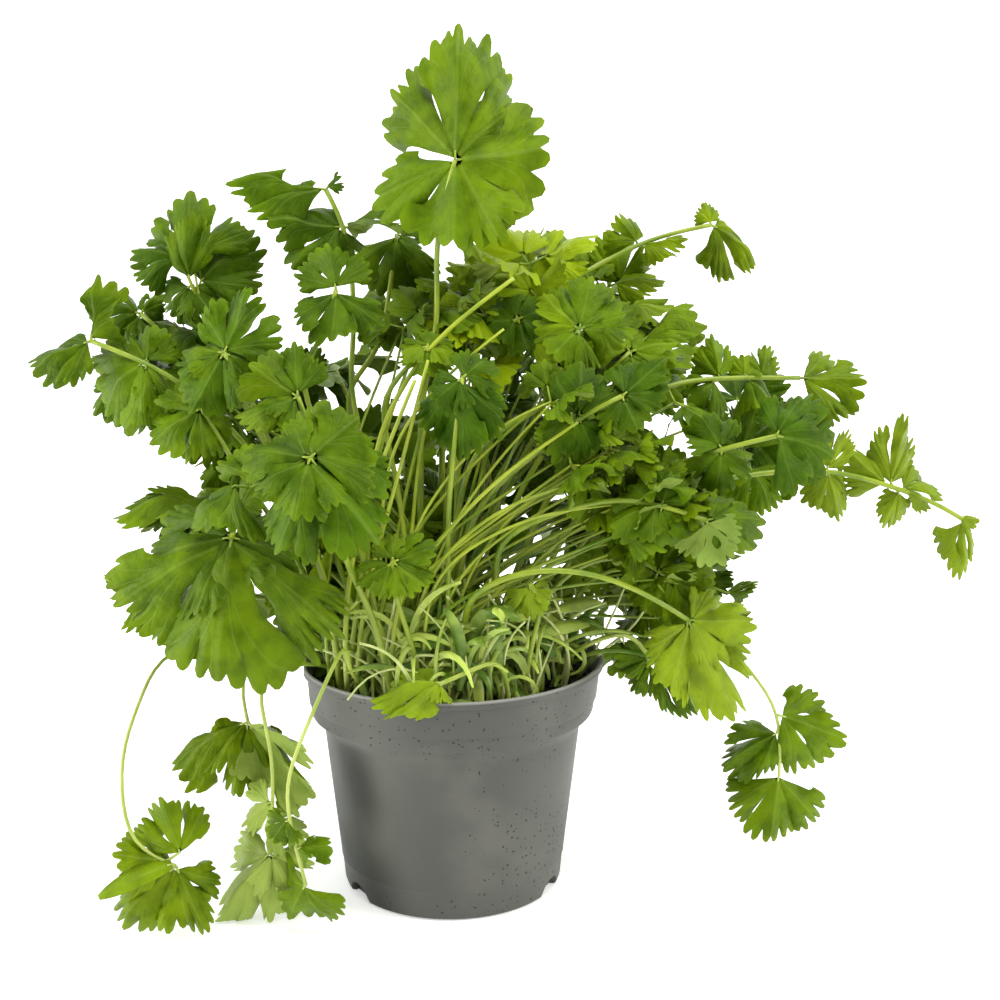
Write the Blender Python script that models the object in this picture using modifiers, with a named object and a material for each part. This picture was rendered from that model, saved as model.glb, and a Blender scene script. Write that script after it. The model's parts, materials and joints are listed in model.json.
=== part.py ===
"""A pot of coriander: a thin plastic pot, the soil in it and the leafy stems that stand in the soil."""

import math
import random
from collections import namedtuple

import bmesh
import bpy
from mathutils import Matrix, Vector
from mathutils.bvhtree import BVHTree

MM = 0.001

# Pot, in millimetres
POT_HEIGHT = 92.0
RIM_RADIUS = 60.0
LIP_HEIGHT = 3.0
LIP_DEPTH = 1.4
LIP_SLOPE = 0.8
LIP_ROUND = 0.6
BAND_FOOT_HEIGHT = 75.5
BAND_FOOT_RADIUS = 56.8
STEP_HEIGHT = 66.0
STEP_RADIUS = 51.0
BASE_RADIUS = 43.8
BASE_CHAMFER = 2.0
WALL = 1.3
FLOOR = 1.6
POT_SIDES = 28
DRAIN_NOTCHES = 3
DRAIN_FIRST_TURN = 64.0
DRAIN_WIDE = 11.0
DRAIN_TALL = 7.0
DRAIN_DEEP = 4.0
DRAIN_HOLES = 6
DRAIN_HOLE_RADIUS = 3.5
DRAIN_HOLE_REACH = 26.0
SHARP_TURN = 30.0

# Soil, in millimetres
SOIL_HEIGHT = 84.0
SOIL_GAP = 0.3
SOIL_DROP = 1.0
SOIL_LEVEL = 0.6
HOLE_GAP = 0.3
HOLE_ABOVE = 8.0



def outer_profile():
    """The pot's outside, from the lip down to the middle of its underside."""
    return [
        (RIM_RADIUS, POT_HEIGHT - LIP_ROUND),
        (RIM_RADIUS, POT_HEIGHT - LIP_HEIGHT),
        (RIM_RADIUS - LIP_DEPTH, POT_HEIGHT - LIP_HEIGHT - LIP_SLOPE),
        (BAND_FOOT_RADIUS, BAND_FOOT_HEIGHT),
        (STEP_RADIUS, STEP_HEIGHT),
        (BASE_RADIUS, BASE_CHAMFER),
        (BASE_RADIUS - BASE_CHAMFER, 0.0),
        (0.0, 0.0),
    ]


def inner_profile(gap):
    """The pot's inside from the middle of its floor up to the rim, this much further in."""
    return [
        (0.0, FLOOR + gap),
        (BASE_RADIUS - BASE_CHAMFER - WALL - gap, FLOOR + gap),
        (STEP_RADIUS - WALL - gap, STEP_HEIGHT),
        (BAND_FOOT_RADIUS - WALL - gap, BAND_FOOT_HEIGHT),
        (RIM_RADIUS - LIP_DEPTH - WALL - gap, POT_HEIGHT - LIP_HEIGHT - LIP_SLOPE),
        (RIM_RADIUS - WALL - LIP_ROUND - gap, POT_HEIGHT - LIP_ROUND),
        (RIM_RADIUS - LIP_ROUND, POT_HEIGHT),
    ]


def soil_profile():
    """The soil's outside from the middle of its top down to the middle of its underside."""
    inside = inner_profile(SOIL_GAP)
    low, high = inside[3], inside[4]
    share = (SOIL_HEIGHT - SOIL_DROP - low[1]) / (high[1] - low[1])
    edge = low[0] + (high[0] - low[0]) * share
    return [
        (0.0, SOIL_HEIGHT),
        (edge * SOIL_LEVEL, SOIL_HEIGHT),
        (edge, SOIL_HEIGHT - SOIL_DROP),
        inside[3],
        inside[2],
        inside[1],
        inside[0],
    ]


def vessel_surface():
    """The pot and the soil as rings of corners, for testing what a stem would cross."""
    points = []
    faces = []
    for profile in (inner_profile(0.0) + outer_profile(), soil_profile()):
        start = len(points)
        for radius, height in profile:
            for side in range(POT_SIDES):
                turn = math.tau * side / POT_SIDES
                points.append(Vector((radius * math.cos(turn), radius * math.sin(turn), height)))
        for ring in range(len(profile) - 1):
            low = start + ring * POT_SIDES
            for side in range(POT_SIDES):
                after = (side + 1) % POT_SIDES
                faces.append((low + side, low + after, low + POT_SIDES + after, low + POT_SIDES + side))
    return points, faces


# The viewer's eye, in millimetres, and the square window of 1000 by 1000 that it sees the plant in
EYE = Vector((19.2, -530.0, 252.0))
EYE_PITCH = math.radians(10.43)
EYE_FOCAL = 1382.6
WINDOW_CENTRE = 500.0

# Plant, in millimetres
SOIL_REACH = 50.0
PLANTING_PLACES = 70
ROOT_DEPTH = 12.0
STEM_GIRTH = 2.6
STEM_TIP = 0.9
STALK_HALF = 0.45
STALK_SHORT = 4.5
FLOOR_CLEARANCE = 0.5
RIM_CLEARANCE = 3.5
STEM_STEP = 50.0
ARCH = 0.16
GOLDEN_TURN = math.pi * (3.0 - math.sqrt(5.0))

# Where the upper side of a leaflet looks
SKY = Vector((0.0, -0.4, 0.92))
VIEWER = Vector((0.0, -1.0, 0.3))
BOTH = Vector((0.0, -0.8, 0.6))
AWAY = Vector((0.0, 0.85, 0.5))
LEFTWARD = Vector((-0.75, -0.6, 0.3))
UPRIGHT = Vector((0.0, 0.1, 1.0))

Leaf = namedtuple("Leaf", "joint tip wide face lean near", defaults=(BOTH, 0.0, 0.0))
Sprig = namedtuple("Sprig", "name root route leaves girth", defaults=(STEM_GIRTH,))
Blade = namedtuple("Blade", "stalk foot axis normal length wide number")
Tube = namedtuple("Tube", "points radii")


def seen(across, down, depth):
    """The point that the window shows at this place, at this depth behind the pot's axis."""
    rise = (WINDOW_CENTRE - down) / EYE_FOCAL
    cos_pitch = math.cos(EYE_PITCH)
    sin_pitch = math.sin(EYE_PITCH)
    ahead = depth - EYE.y
    drop = ahead * (rise * cos_pitch - sin_pitch) / (cos_pitch + rise * sin_pitch)
    distance = ahead * cos_pitch - drop * sin_pitch
    return Vector((EYE.x + (across - WINDOW_CENTRE) / EYE_FOCAL * distance, depth, EYE.z + drop))


def in_window(point):
    """Where the window shows a point."""
    gap = point - EYE
    distance = gap.y * math.cos(EYE_PITCH) - gap.z * math.sin(EYE_PITCH)
    rise = gap.y * math.sin(EYE_PITCH) + gap.z * math.cos(EYE_PITCH)
    across = WINDOW_CENTRE + EYE_FOCAL * gap.x / distance
    return Vector((across, WINDOW_CENTRE - EYE_FOCAL * rise / distance))


def slid(point, depth):
    """The same place in the window, moved this much deeper."""
    ray = point - EYE
    return point + ray * (depth / ray.y)


def over_rim(angle, lift):
    """A point just outside the rim, this far above it; the angle turns from the front towards +X."""
    turn = math.radians(angle)
    reach = RIM_RADIUS + RIM_CLEARANCE
    return Vector((math.sin(turn) * reach, -math.cos(turn) * reach, POT_HEIGHT + lift))


# The stems and leaflets that the window shows, front ones first
SPRIGS = [
    Sprig("stem_hero_top", (-12, -8), [
        seen(422, 400, -12), seen(436, 329, -16), seen(436, 237, -20), seen(455, 160, -20),
    ], [
        Leaf((455, 153), (458, 27), 40, VIEWER, 4),
        Leaf((456, 156), (552, 146), 48, VIEWER, -2),
        Leaf((455, 158), (452, 252), 38, VIEWER, -8),
    ], 3.2),
    Sprig("stem_front_left", (-38, -30), [
        seen(318, 560, -46), seen(282, 492, -54), seen(255, 474, -58), seen(243, 494, -60),
        seen(232, 537, -60),
    ], [
        Leaf((231, 539), (130, 555), 36, BOTH, -4),
        Leaf((232, 539), (302, 560), 24, BOTH, 2),
        Leaf((231, 541), (206, 674), 76, BOTH, -22),
        Leaf((250, 480), (246, 438), 20, BOTH, 6),
        Leaf((226, 486), (190, 518), 30, LEFTWARD, -6, -4),
    ], 3.0),
    Sprig("stem_front_mid", (-22, -38), [
        seen(350, 570, -48), seen(325, 500, -58), seen(310, 458, -62),
    ], [
        Leaf((308, 452), (352, 412), 30, BOTH, 6),
        Leaf((308, 452), (238, 440), 24, BOTH, 4),
        Leaf((310, 455), (380, 535), 38, BOTH, -8),
        Leaf((306, 456), (288, 514), 26, BOTH, -12),
        Leaf((312, 462), (258, 545), 24, BOTH, 6, 10),
    ], 3.0),
    Sprig("stem_arching_right", (8, -34), [
        seen(466, 600, -46), seen(510, 575, -52), seen(553, 569, -54), seen(600, 575, -54),
        seen(650, 596, -50), seen(688, 620, -46),
    ], [
        Leaf((689, 621), (757, 622), 24, BOTH, 4),
        Leaf((689, 622), (738, 722), 34, BOTH, -6),
        Leaf((688, 622), (677, 702), 22, BOTH, -2),
    ]),
    Sprig("stem_hero_side", (-14, -26), [
        seen(381, 400, -26), seen(409, 367, -28), seen(428, 347, -30),
    ], [
        Leaf((428, 348), (400, 346), 15, SKY, -3),
        Leaf((428, 348), (457, 350), 15, SKY, -3),
        Leaf((428, 348), (427, 374), 16, BOTH, -6),
        Leaf((428, 348), (430, 330), 13, SKY, 6),
    ], 2.4),
    Sprig("stem_upper_left_tall", (-24, 2), [
        seen(350, 383, 4), seen(354, 339, 6), seen(351, 262, 8), seen(340, 215, 8), seen(326, 190, 8),
    ], [
        Leaf((322, 181), (235, 158), 17, SKY, -4),
        Leaf((324, 186), (335, 168), 7, SKY, 0),
        Leaf((347, 226), (262, 222), 24, BOTH, -6),
        Leaf((346, 226), (338, 258), 16, BOTH, -4),
        Leaf((350, 228), (402, 190), 20, UPRIGHT, 4),
    ], 2.6),
    Sprig("stem_upper_left_mid", (-18, 10), [
        seen(345, 398, 14), seen(378, 352, 20), seen(388, 300, 24), seen(397, 234, 26),
    ], [
        Leaf((397, 231), (389, 291), 28, BOTH, -8),
        Leaf((388, 301), (388, 350), 27, BOTH, -6),
        Leaf((397, 231), (425, 246), 14, BOTH, 0),
        Leaf((388, 298), (352, 330), 20, BOTH, 6),
    ], 2.6),
    Sprig("stem_upper_left_low", (-32, -8), [
        seen(301, 382, -16), seen(323, 337, -17), seen(336, 290, -18),
    ], [
        Leaf((337, 286), (328, 239), 20, BOTH, 4),
        Leaf((337, 290), (334, 346), 24, BOTH, -8),
    ], 2.6),
    Sprig("stem_left_top", (-36, 8), [seen(262, 440, 4), seen(218, 345, 8), seen(192, 285, 10)], [
        Leaf((190, 246), (186, 192), 30, BOTH, 3),
        Leaf((175, 250), (132, 243), 17, BOTH, -2),
        Leaf((186, 270), (180, 220), 15, VIEWER, -8, -4),
        Leaf((204, 274), (250, 228), 26, BOTH, 4, 4),
        Leaf((190, 283), (158, 305), 15, BOTH, -4),
        Leaf((192, 284), (214, 317), 17, BOTH, -4),
    ], 2.8),
    Sprig("stem_left_inner", (-30, -18), [
        seen(282, 470, -26), seen(245, 385, -32), seen(224, 353, -34),
    ], [
        Leaf((224, 351), (252, 286), 24, BOTH, 4),
        Leaf((223, 352), (188, 408), 30, VIEWER, -6),
        Leaf((225, 354), (262, 362), 17, BOTH, -2),
        Leaf((222, 350), (178, 342), 16, BOTH, 2),
    ], 2.6),
    Sprig("stem_left_frill", (-24, -26), [seen(325, 470, -36), seen(298, 397, -38)], [
        Leaf((297, 395), (246, 362), 26, BOTH, 2),
        Leaf((297, 396), (262, 410), 19, BOTH, -6),
        Leaf((297, 395), (292, 342), 18, BOTH, 4),
    ], 2.4),
    Sprig("stem_left_low", (-42, -12), [
        seen(262, 505, -28), seen(228, 453, -32), seen(202, 408, -32),
    ], [
        Leaf((202, 407), (146, 434), 25, BOTH, -6),
        Leaf((202, 409), (205, 452), 15, BOTH, -5),
    ], 2.4),
    Sprig("stem_far_left", (-45, 2), [
        seen(250, 450, -12), seen(190, 390, -16), seen(144, 362, -18), seen(91, 341, -16),
    ], [
        Leaf((89, 340), (21, 360), 18, BOTH, -5),
        Leaf((90, 340), (91, 277), 8, LEFTWARD, 3),
        Leaf((144, 362), (88, 402), 34, BOTH, -5),
        Leaf((147, 362), (150, 322), 16, BOTH, 5),
        Leaf((146, 364), (142, 410), 15, BOTH, -9),
    ], 2.6),
    Sprig("stem_far_left_small", (-42, 16), [
        seen(240, 430, 20), seen(180, 350, 30), seen(141, 314, 32),
    ], [
        Leaf((140, 313), (95, 296), 18, BOTH, -3),
        Leaf((142, 312), (157, 288), 9, BOTH, 2),
        Leaf((142, 315), (124, 330), 11, BOTH, -3),
    ], 2.2),
    Sprig("stem_front_frill", (-8, -42), [seen(395, 600, -52), seen(393, 562, -54)], [
        Leaf((393, 562), (436, 545), 17, BOTH, -2),
        Leaf((393, 562), (425, 586), 16, BOTH, -6),
        Leaf((392, 563), (352, 586), 15, BOTH, -4),
        Leaf((393, 560), (392, 533), 13, BOTH, 3),
    ], 2.2),
    Sprig("stem_trailing_front", (-30, -40), [
        over_rim(-34, 8), seen(346, 640, -62), seen(314, 710, -66), seen(288, 775, -66),
        seen(289, 820, -64), seen(306, 885, -62),
    ], [
        Leaf((289, 818), (268, 842), 14, BOTH, -2),
        Leaf((296, 848), (330, 842), 13, SKY, -4),
        Leaf((306, 884), (284, 926), 22, BOTH, 4),
    ], 2.2),
    Sprig("stem_trailing_inner", (-42, -26), [
        over_rim(-58, 7), seen(258, 680, -50), seen(273, 760, -50), seen(270, 852, -50),
    ], [
        Leaf((268, 854), (205, 928), 25, BOTH, -4),
        Leaf((269, 854), (298, 902), 20, BOTH, -4),
        Leaf((270, 820), (308, 836), 18, BOTH, 6),
        Leaf((270, 800), (238, 826), 18, BOTH, 4),
    ], 2.2),
    Sprig("stem_trailing_middle", (-46, -14), [
        over_rim(-72, 8), seen(240, 668, -30), seen(248, 722, -32),
    ], [
        Leaf((248, 722), (164, 752), 24, SKY, -6),
        Leaf((248, 724), (322, 800), 26, AWAY, -8),
        Leaf((248, 726), (235, 800), 20, BOTH, -4),
    ], 2.2),
    Sprig("stem_trailing_outer", (-47, 0), [
        over_rim(-88, 10), seen(172, 650, -30), seen(140, 702, -44), seen(121, 760, -52),
        seen(131, 842, -58), seen(176, 866, -60),
    ], [
        Leaf((176, 867), (108, 926), 26, BOTH, -8),
        Leaf((176, 867), (203, 932), 18, BOTH, -6),
        Leaf((187, 848), (160, 798), 20, BOTH, 4),
        Leaf((168, 858), (112, 852), 22, BOTH, -4),
        Leaf((172, 864), (94, 890), 6, SKY, -2, -5),
    ], 1.8),
    Sprig("stem_canopy_crest", (-10, 6), [seen(447, 330, 20), seen(514, 278, 26)], [
        Leaf((514, 280), (445, 262), 34, BOTH, -4),
        Leaf((508, 284), (478, 342), 24, BOTH, -8),
        Leaf((516, 276), (517, 237), 15, VIEWER, 4),
        Leaf((518, 280), (546, 224), 11, LEFTWARD, 2),
    ], 3.4),
    Sprig("stem_canopy_dark", (-6, -4), [seen(463, 362, -4), seen(504, 329, -6), seen(518, 319, -6)], [
        Leaf((518, 318), (505, 290), 18, BOTH, 4),
        Leaf((518, 318), (549, 306), 17, BOTH, 2),
        Leaf((518, 319), (528, 352), 18, BOTH, -5),
        Leaf((517, 319), (486, 322), 15, BOTH, -3),
    ], 3.0),
    Sprig("stem_canopy_fan", (-2, -12), [
        seen(480, 445, -16), seen(551, 402, -20), seen(579, 330, -22),
    ], [
        Leaf((579, 325), (592, 270), 22, BOTH, 4),
        Leaf((580, 326), (550, 352), 18, BOTH, -6),
        Leaf((580, 325), (545, 290), 17, BOTH, 3),
        Leaf((582, 323), (638, 292), 16, BOTH, 6, 3),
    ], 2.8),
    Sprig("stem_canopy_big", (6, 2), [seen(560, 430, 10), seen(610, 372, 12), seen(630, 352, 12)], [
        Leaf((630, 351), (606, 322), 19, SKY, 4),
        Leaf((631, 351), (678, 334), 23, BOTH, 2),
        Leaf((631, 352), (642, 388), 20, BOTH, -8),
        Leaf((650, 334), (688, 290), 8, LEFTWARD, 4, 6),
    ], 2.8),
    Sprig("stem_canopy_blue", (2, -22), [
        seen(480, 504, -28), seen(540, 450, -36), seen(579, 418, -40), seen(622, 396, -42),
    ], [
        Leaf((622, 395), (664, 360), 20, BOTH, 4),
        Leaf((579, 418), (582, 358), 22, BOTH, 6),
        Leaf((579, 419), (596, 452), 19, BOTH, -5),
        Leaf((622, 397), (640, 432), 18, BOTH, -5),
        Leaf((579, 418), (540, 440), 17, BOTH, -6),
    ], 2.8),
    Sprig("stem_right_long", (14, -2), [
        seen(600, 430, 6), seen(669, 385, 12), seen(735, 378, 16), seen(800, 378, 18),
    ], [
        Leaf((803, 378), (869, 376), 27, BOTH, -4),
        Leaf((719, 380), (714, 334), 15, BOTH, 4),
        Leaf((744, 379), (746, 352), 10, BOTH, 2),
        Leaf((760, 378), (770, 343), 11, VIEWER, 2),
        Leaf((745, 380), (779, 402), 15, BOTH, -4),
        Leaf((716, 381), (690, 402), 15, BOTH, -6),
    ], 2.8),
    Sprig("stem_right_dark", (12, -14), [
        seen(640, 480, -28), seen(720, 450, -40), seen(776, 436, -46),
    ], [
        Leaf((776, 435), (840, 446), 34, BOTH, -4),
        Leaf((776, 434), (800, 392), 18, BOTH, 4),
        Leaf((722, 449), (700, 412), 19, BOTH, 4),
        Leaf((722, 450), (718, 492), 18, BOTH, -6),
    ], 2.6),
    Sprig("stem_right_far", (20, -6), [
        seen(600, 500, -8), seen(735, 477, -12), seen(822, 470, -14), seen(893, 487, -14),
        seen(942, 506, -14), seen(962, 519, -14),
    ], [
        Leaf((962, 519), (966, 577), 13, BOTH, -3),
        Leaf((959, 517), (978, 519), 6, SKY, 0),
        Leaf((900, 490), (947, 478), 16, BOTH, 3),
        Leaf((900, 491), (881, 526), 9, BOTH, -3),
        Leaf((890, 486), (908, 411), 14, VIEWER, 4),
        Leaf((888, 484), (854, 448), 15, BOTH, 2),
        Leaf((828, 471), (842, 519), 13, BOTH, -4),
        Leaf((826, 470), (850, 426), 9, BOTH, 3),
    ], 2.4),
    Sprig("stem_top_right", (4, 14), [
        seen(505, 335, 26), seen(564, 285, 34), seen(600, 264, 38), seen(638, 244, 40),
        seen(676, 232, 42), seen(711, 225, 42),
    ], [
        Leaf((638, 243), (617, 210), 15, BOTH, 2),
        Leaf((640, 243), (684, 240), 9, SKY, -3),
        Leaf((711, 225), (768, 252), 17, BOTH, -5),
        Leaf((711, 225), (705, 200), 8, BOTH, 2),
    ], 2.2),
    Sprig("stem_canopy_round", (-4, -34), [
        seen(448, 520, -42), seen(455, 440, -46), seen(462, 378, -46),
    ], [
        Leaf((462, 380), (463, 456), 25, BOTH, -8),
        Leaf((462, 376), (490, 352), 16, BOTH, 3),
        Leaf((461, 378), (432, 400), 15, BOTH, -5),
    ], 2.2),
    Sprig("stem_canopy_low", (10, -26), [
        seen(500, 540, -38), seen(600, 500, -48), seen(660, 505, -52), seen(706, 520, -54),
    ], [
        Leaf((706, 519), (770, 512), 18, BOTH, 3),
        Leaf((660, 504), (616, 512), 16, BOTH, -6),
        Leaf((662, 505), (655, 545), 20, BOTH, -6),
        Leaf((706, 521), (728, 562), 20, AWAY, -5),
        Leaf((662, 503), (676, 466), 17, BOTH, 4),
    ], 2.6),
    Sprig("stem_canopy_right_low", (24, -18), [
        seen(590, 560, -22), seen(650, 560, -26), seen(672, 582, -28),
    ], [
        Leaf((672, 582), (722, 602), 22, BOTH, -4),
        Leaf((673, 580), (712, 560), 16, BOTH, 3),
        Leaf((735, 596), (763, 577), 7, BOTH, 2, 3),
        Leaf((668, 578), (640, 612), 18, BOTH, -6),
    ], 2.4),
    Sprig("stem_hanging_right", (36, -12), [
        over_rim(66, 14), seen(632, 632, -12), seen(652, 662, -12),
    ], [
        Leaf((652, 664), (632, 694), 15, BOTH, -3),
        Leaf((655, 668), (708, 712), 17, BOTH, -4),
        Leaf((650, 660), (616, 652), 13, BOTH, -2),
    ], 2.0),
    Sprig("stem_trailing_right", (34, 6), [
        over_rim(96, 20), seen(700, 620, 6), seen(757, 680, 0), seen(779, 714, -4), seen(779, 776, -6),
    ], [
        Leaf((780, 715), (848, 736), 26, BOTH, -4),
        Leaf((778, 732), (717, 764), 19, BOTH, -2),
        Leaf((779, 774), (770, 848), 32, BOTH, -6),
    ], 2.0),
    Sprig("stem_rim_leaf", (16, -44), [seen(500, 655, -50), seen(462, 676, -56), seen(440, 684, -57)], [
        Leaf((444, 683), (367, 682), 15, SKY, -2),
        Leaf((444, 684), (430, 700), 10, SKY, -4),
    ], 1.8),
    Sprig("stem_mouth_leaf", (22, -38), [seen(545, 600, -46), seen(530, 584, -47)], [
        Leaf((530, 583), (530, 621), 13, VIEWER, -2),
        Leaf((531, 583), (546, 597), 8, VIEWER, 0),
    ], 1.8),
]

# Leafy stems that the window hides or shows little of: their turn from the front, lean and length
WILD_SEED = 11
WILD_SPRIGS = 9
WILD_TURNS = (72.0, 286.0)
WILD_HEIGHTS = (150.0, 255.0)
WILD_REACHES = (44.0, 106.0)
WILD_LEAFLET = (24.0, 30.0)

# Seedlings that still carry their first two leaves, long and narrow
SEEDLING_SEED = 5
SEEDLINGS = 4
SEEDLING_HEIGHTS = (22.0, 44.0)
SEEDLING_STRAP = (24.0, 32.0)
SEEDLING_WIDE = 4.5
# How a stem may give way to its neighbours: sideways in depth, to another planting place, or by its bow
SLIDES = (0.0, 4.0, -4.0, 8.0, -8.0, 13.0, -13.0, 18.0, -18.0, 24.0, -24.0)
BOWS = (0.0, 10.0, -10.0, 20.0, -20.0)
NEAR_PLACES = 5
PLACE_COST = 3.5
BOW_COST = 0.6
GOLDEN_SHARE = 0.618
TRIALS = sorted(
    ((slide, rank, bow) for slide in SLIDES for rank in range(NEAR_PLACES) for bow in BOWS),
    key=lambda trial: abs(trial[0]) + PLACE_COST * trial[1] + BOW_COST * abs(trial[2]),
)
WILD_TRIES = 60
CLEARANCE = 0.35

# A leaflet's outline as a fan from its foot: three lobes with teeth, by share of the fan's half turn
FAN_TURN = math.radians(54.0)
SINUS = 0.37
SINUS_DEPTH = 0.25
SINUS_WIDE = 0.055
FULLNESS = 1.15
TEETH_GRAND = (
    (0.99, 1.0), (0.85, 0.86), (0.7, 1.06), (0.5, 1.0), (0.37, 1.0), (0.26, 1.02), (0.13, 0.9),
    (0.0, 1.04),
)
TEETH_LARGE = ((0.97, 1.0), (0.68, 1.04), (0.37, 1.0), (0.18, 1.02), (0.0, 1.04))
TEETH_SMALL = ((0.88, 1.02), (0.37, 1.0), (0.14, 1.02))
STRAP_SIDE = ((0.5, 0.4), (0.36, 0.85), (0.0, 1.0))
STRAP_SHARE = 0.36
LARGE_LEAFLET = 27.0
GRAND_LEAFLET = 60.0
BLADE_THICKNESS = 0.7
DROOP_SIDE = 0.28
DROOP_TIP = 0.14
RIB_FOLD = 0.045
EDGE_WAVE = 0.05
COLLAR = 6.0


def planting_places():
    """Evenly spread places on the soil, as seeds lie in a flower head."""
    places = []
    for count in range(PLANTING_PLACES):
        reach = SOIL_REACH * math.sqrt((count + 0.5) / PLANTING_PLACES)
        turn = count * GOLDEN_TURN
        places.append(Vector((reach * math.cos(turn), reach * math.sin(turn), SOIL_HEIGHT)))
    return places


def bent(stations, step=STEM_STEP):
    """A smooth line through the stations, with a corner every step or so."""
    line = [stations[0]]
    last = len(stations) - 1
    for index in range(last):
        before = stations[max(index - 1, 0)]
        start = stations[index]
        end = stations[index + 1]
        after = stations[min(index + 2, last)]
        pieces = max(1, round((end - start).length / step))
        for count in range(1, pieces + 1):
            t = count / pieces
            line.append(0.5 * (
                2.0 * start + (end - before) * t
                + (2.0 * before - 5.0 * start + 4.0 * end - after) * t ** 2
                + (3.0 * start - before - 3.0 * end + after) * t ** 3
            ))
    return line


def main_stem(plan, place, slide, bow):
    """The stem from its buried foot to its last joint."""
    up = Vector((0.0, 0.0, 1.0))
    share = slide / len(plan.route)
    route = [slid(point, share * (index + 1)) for index, point in enumerate(plan.route)]
    gap = route[0] - place
    middle = place + gap * 0.5 + up * (ARCH * gap.length)
    middle += gap.cross(up).normalized() * bow
    lean = ((middle - place).normalized() + up).normalized()
    collar = place + lean * COLLAR
    line = [place - lean * ROOT_DEPTH, place] + bent([collar, middle] + route)
    lengths = [0.0]
    for start, end in zip(line, line[1:]):
        lengths.append(lengths[-1] + (end - start).length)
    thick = plan.girth * 0.5
    radii = [thick + (STEM_TIP - thick) * along / lengths[-1] for along in lengths]
    return Tube(line, radii)


def nearest_on(line, across, down):
    """The stretch of the line, and the point on it, that the window shows nearest to a place."""
    target = Vector((across, down))
    best = None
    for index in range(2, len(line) - 1):
        start = in_window(line[index])
        span = in_window(line[index + 1]) - start
        share = min(max((target - start).dot(span) / max(span.length_squared, 1e-6), 0.0), 1.0)
        miss = (start + span * share - target).length
        if best is None or miss < best[0] - 0.01:
            best = (miss, index, line[index].lerp(line[index + 1], share))
    return best[1], best[2]


def blade_at(start, run, foot, tip, wide, face, number):
    """A leaflet, on a stalk that leaves the stem at start along its run."""
    axis = (tip - foot).normalized()
    normal = (face - axis * face.dot(axis)).normalized()
    reach = (foot - start).length
    if reach < STALK_SHORT:
        foot = start + axis * STALK_SHORT
        stalk = [start - axis * 0.3]
    elif reach < 12.0:
        stalk = [start]
    else:
        stalk = [start, (start + foot) * 0.5 + (run * 0.5 - axis * 0.5) * (reach * 0.24)]
    return Blade(stalk, foot, axis, normal, max((tip - foot).length, 4.0), wide * FULLNESS, number)


def leaf_blade(line, leaf, number):
    """A leaflet that the window shows, on the stem's line."""
    index, on_stem = nearest_on(line, *leaf.joint)
    foot = seen(*leaf.joint, on_stem.y + leaf.near)
    tip = seen(*leaf.tip, foot.y + leaf.lean)
    gap = (foot - on_stem).length
    start = on_stem
    if gap > STALK_SHORT:
        back = min(0.5 * gap, (on_stem - line[2]).length, (on_stem - line[index]).length)
        start = on_stem + (line[index] - on_stem).normalized() * back
    run = (line[index + 1] - line[index]).normalized()
    return blade_at(start, run, foot, tip, leaf.wide, leaf.face, number)


def sprig_limbs(plan, number, place, slide, bow):
    """The stem and blades of one leafy stem that the window shows."""
    stem = main_stem(plan, place, slide, bow)
    blades = [
        leaf_blade(stem.points, leaf, number * 10 + count) for count, leaf in enumerate(plan.leaves)
    ]
    return stem, blades


def tooth_row(blade):
    """The outline of one half of the blade, from its foot to its tip, as shares of width and length."""
    if blade.wide < STRAP_SHARE * blade.length:
        return STRAP_SIDE
    teeth = TEETH_LARGE if blade.length > LARGE_LEAFLET else TEETH_SMALL
    if blade.wide > GRAND_LEAFLET:
        teeth = TEETH_GRAND
    return [fan_point(share, swell) for share, swell in teeth]


def fan_point(share, swell=1.0):
    notch = SINUS_DEPTH * math.exp(-((share - SINUS) / SINUS_WIDE) ** 2)
    reach = swell * (1.0 - 0.5 * share ** 2.4) * (1.0 - notch)
    turn = share * FAN_TURN
    return reach * math.sin(turn), reach * math.cos(turn)


def relief(blade, side, along):
    """How far the blade stands off its plane: it cups, droops to its tip, folds along its ribs and waves."""
    far = math.hypot(side, along)
    share = math.atan2(side, along) / FAN_TURN
    droop = -DROOP_SIDE * side ** 2 - DROOP_TIP * along ** 2
    fold = RIB_FOLD * far * math.cos(math.pi * share / SINUS)
    wave = EDGE_WAVE * far * math.sin(3.1 * share + 1.7 * blade.number)
    return (droop + fold + wave) * blade.length


def above_floor(point):
    return Vector((point.x, point.y, max(point.z, FLOOR_CLEARANCE + BLADE_THICKNESS)))


def on_blade(blade, side, along):
    """A point of the blade's middle sheet, kept above the floor."""
    across = blade.axis.cross(blade.normal)
    point = blade.foot + blade.axis * (along * blade.length) + across * (side * blade.wide)
    return above_floor(point + blade.normal * relief(blade, side, along))


def blade_sheet(blade):
    """The stalk as a narrow strip and the blade as a folded fan, as corners and triangles."""
    corners = []
    stations = blade.stalk + [blade.foot]
    for index, station in enumerate(stations):
        run = stations[min(index + 1, len(stations) - 1)] - stations[max(index - 1, 0)]
        across = run.cross(blade.normal).normalized() * STALK_HALF
        corners += [above_floor(station - across), above_floor(station + across)]
    triangles = []
    for index in range(0, 2 * len(stations) - 2, 2):
        triangles += [(index, index + 1, index + 2), (index + 1, index + 3, index + 2)]
    left = 2 * len(stations) - 2
    right = left + 1
    row = tooth_row(blade)
    sides = [[], []]
    for half, sign in enumerate((-1.0, 1.0)):
        for side, along in row:
            if side < 1e-6 and half == 1:
                sides[1].append(sides[0][-1])
            else:
                sides[half].append(len(corners))
                corners.append(on_blade(blade, sign * side, along))
    for start, end in zip(sides[0], sides[0][1:]):
        triangles.append((left, end, start))
    for start, end in zip(sides[1], sides[1][1:]):
        triangles.append((right, start, end))
    if sides[0][-1] != sides[1][-1]:
        triangles.append((left, sides[1][-1], sides[0][-1]))
    triangles.append((left, right, sides[1][-1]))
    return corners, triangles


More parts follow.
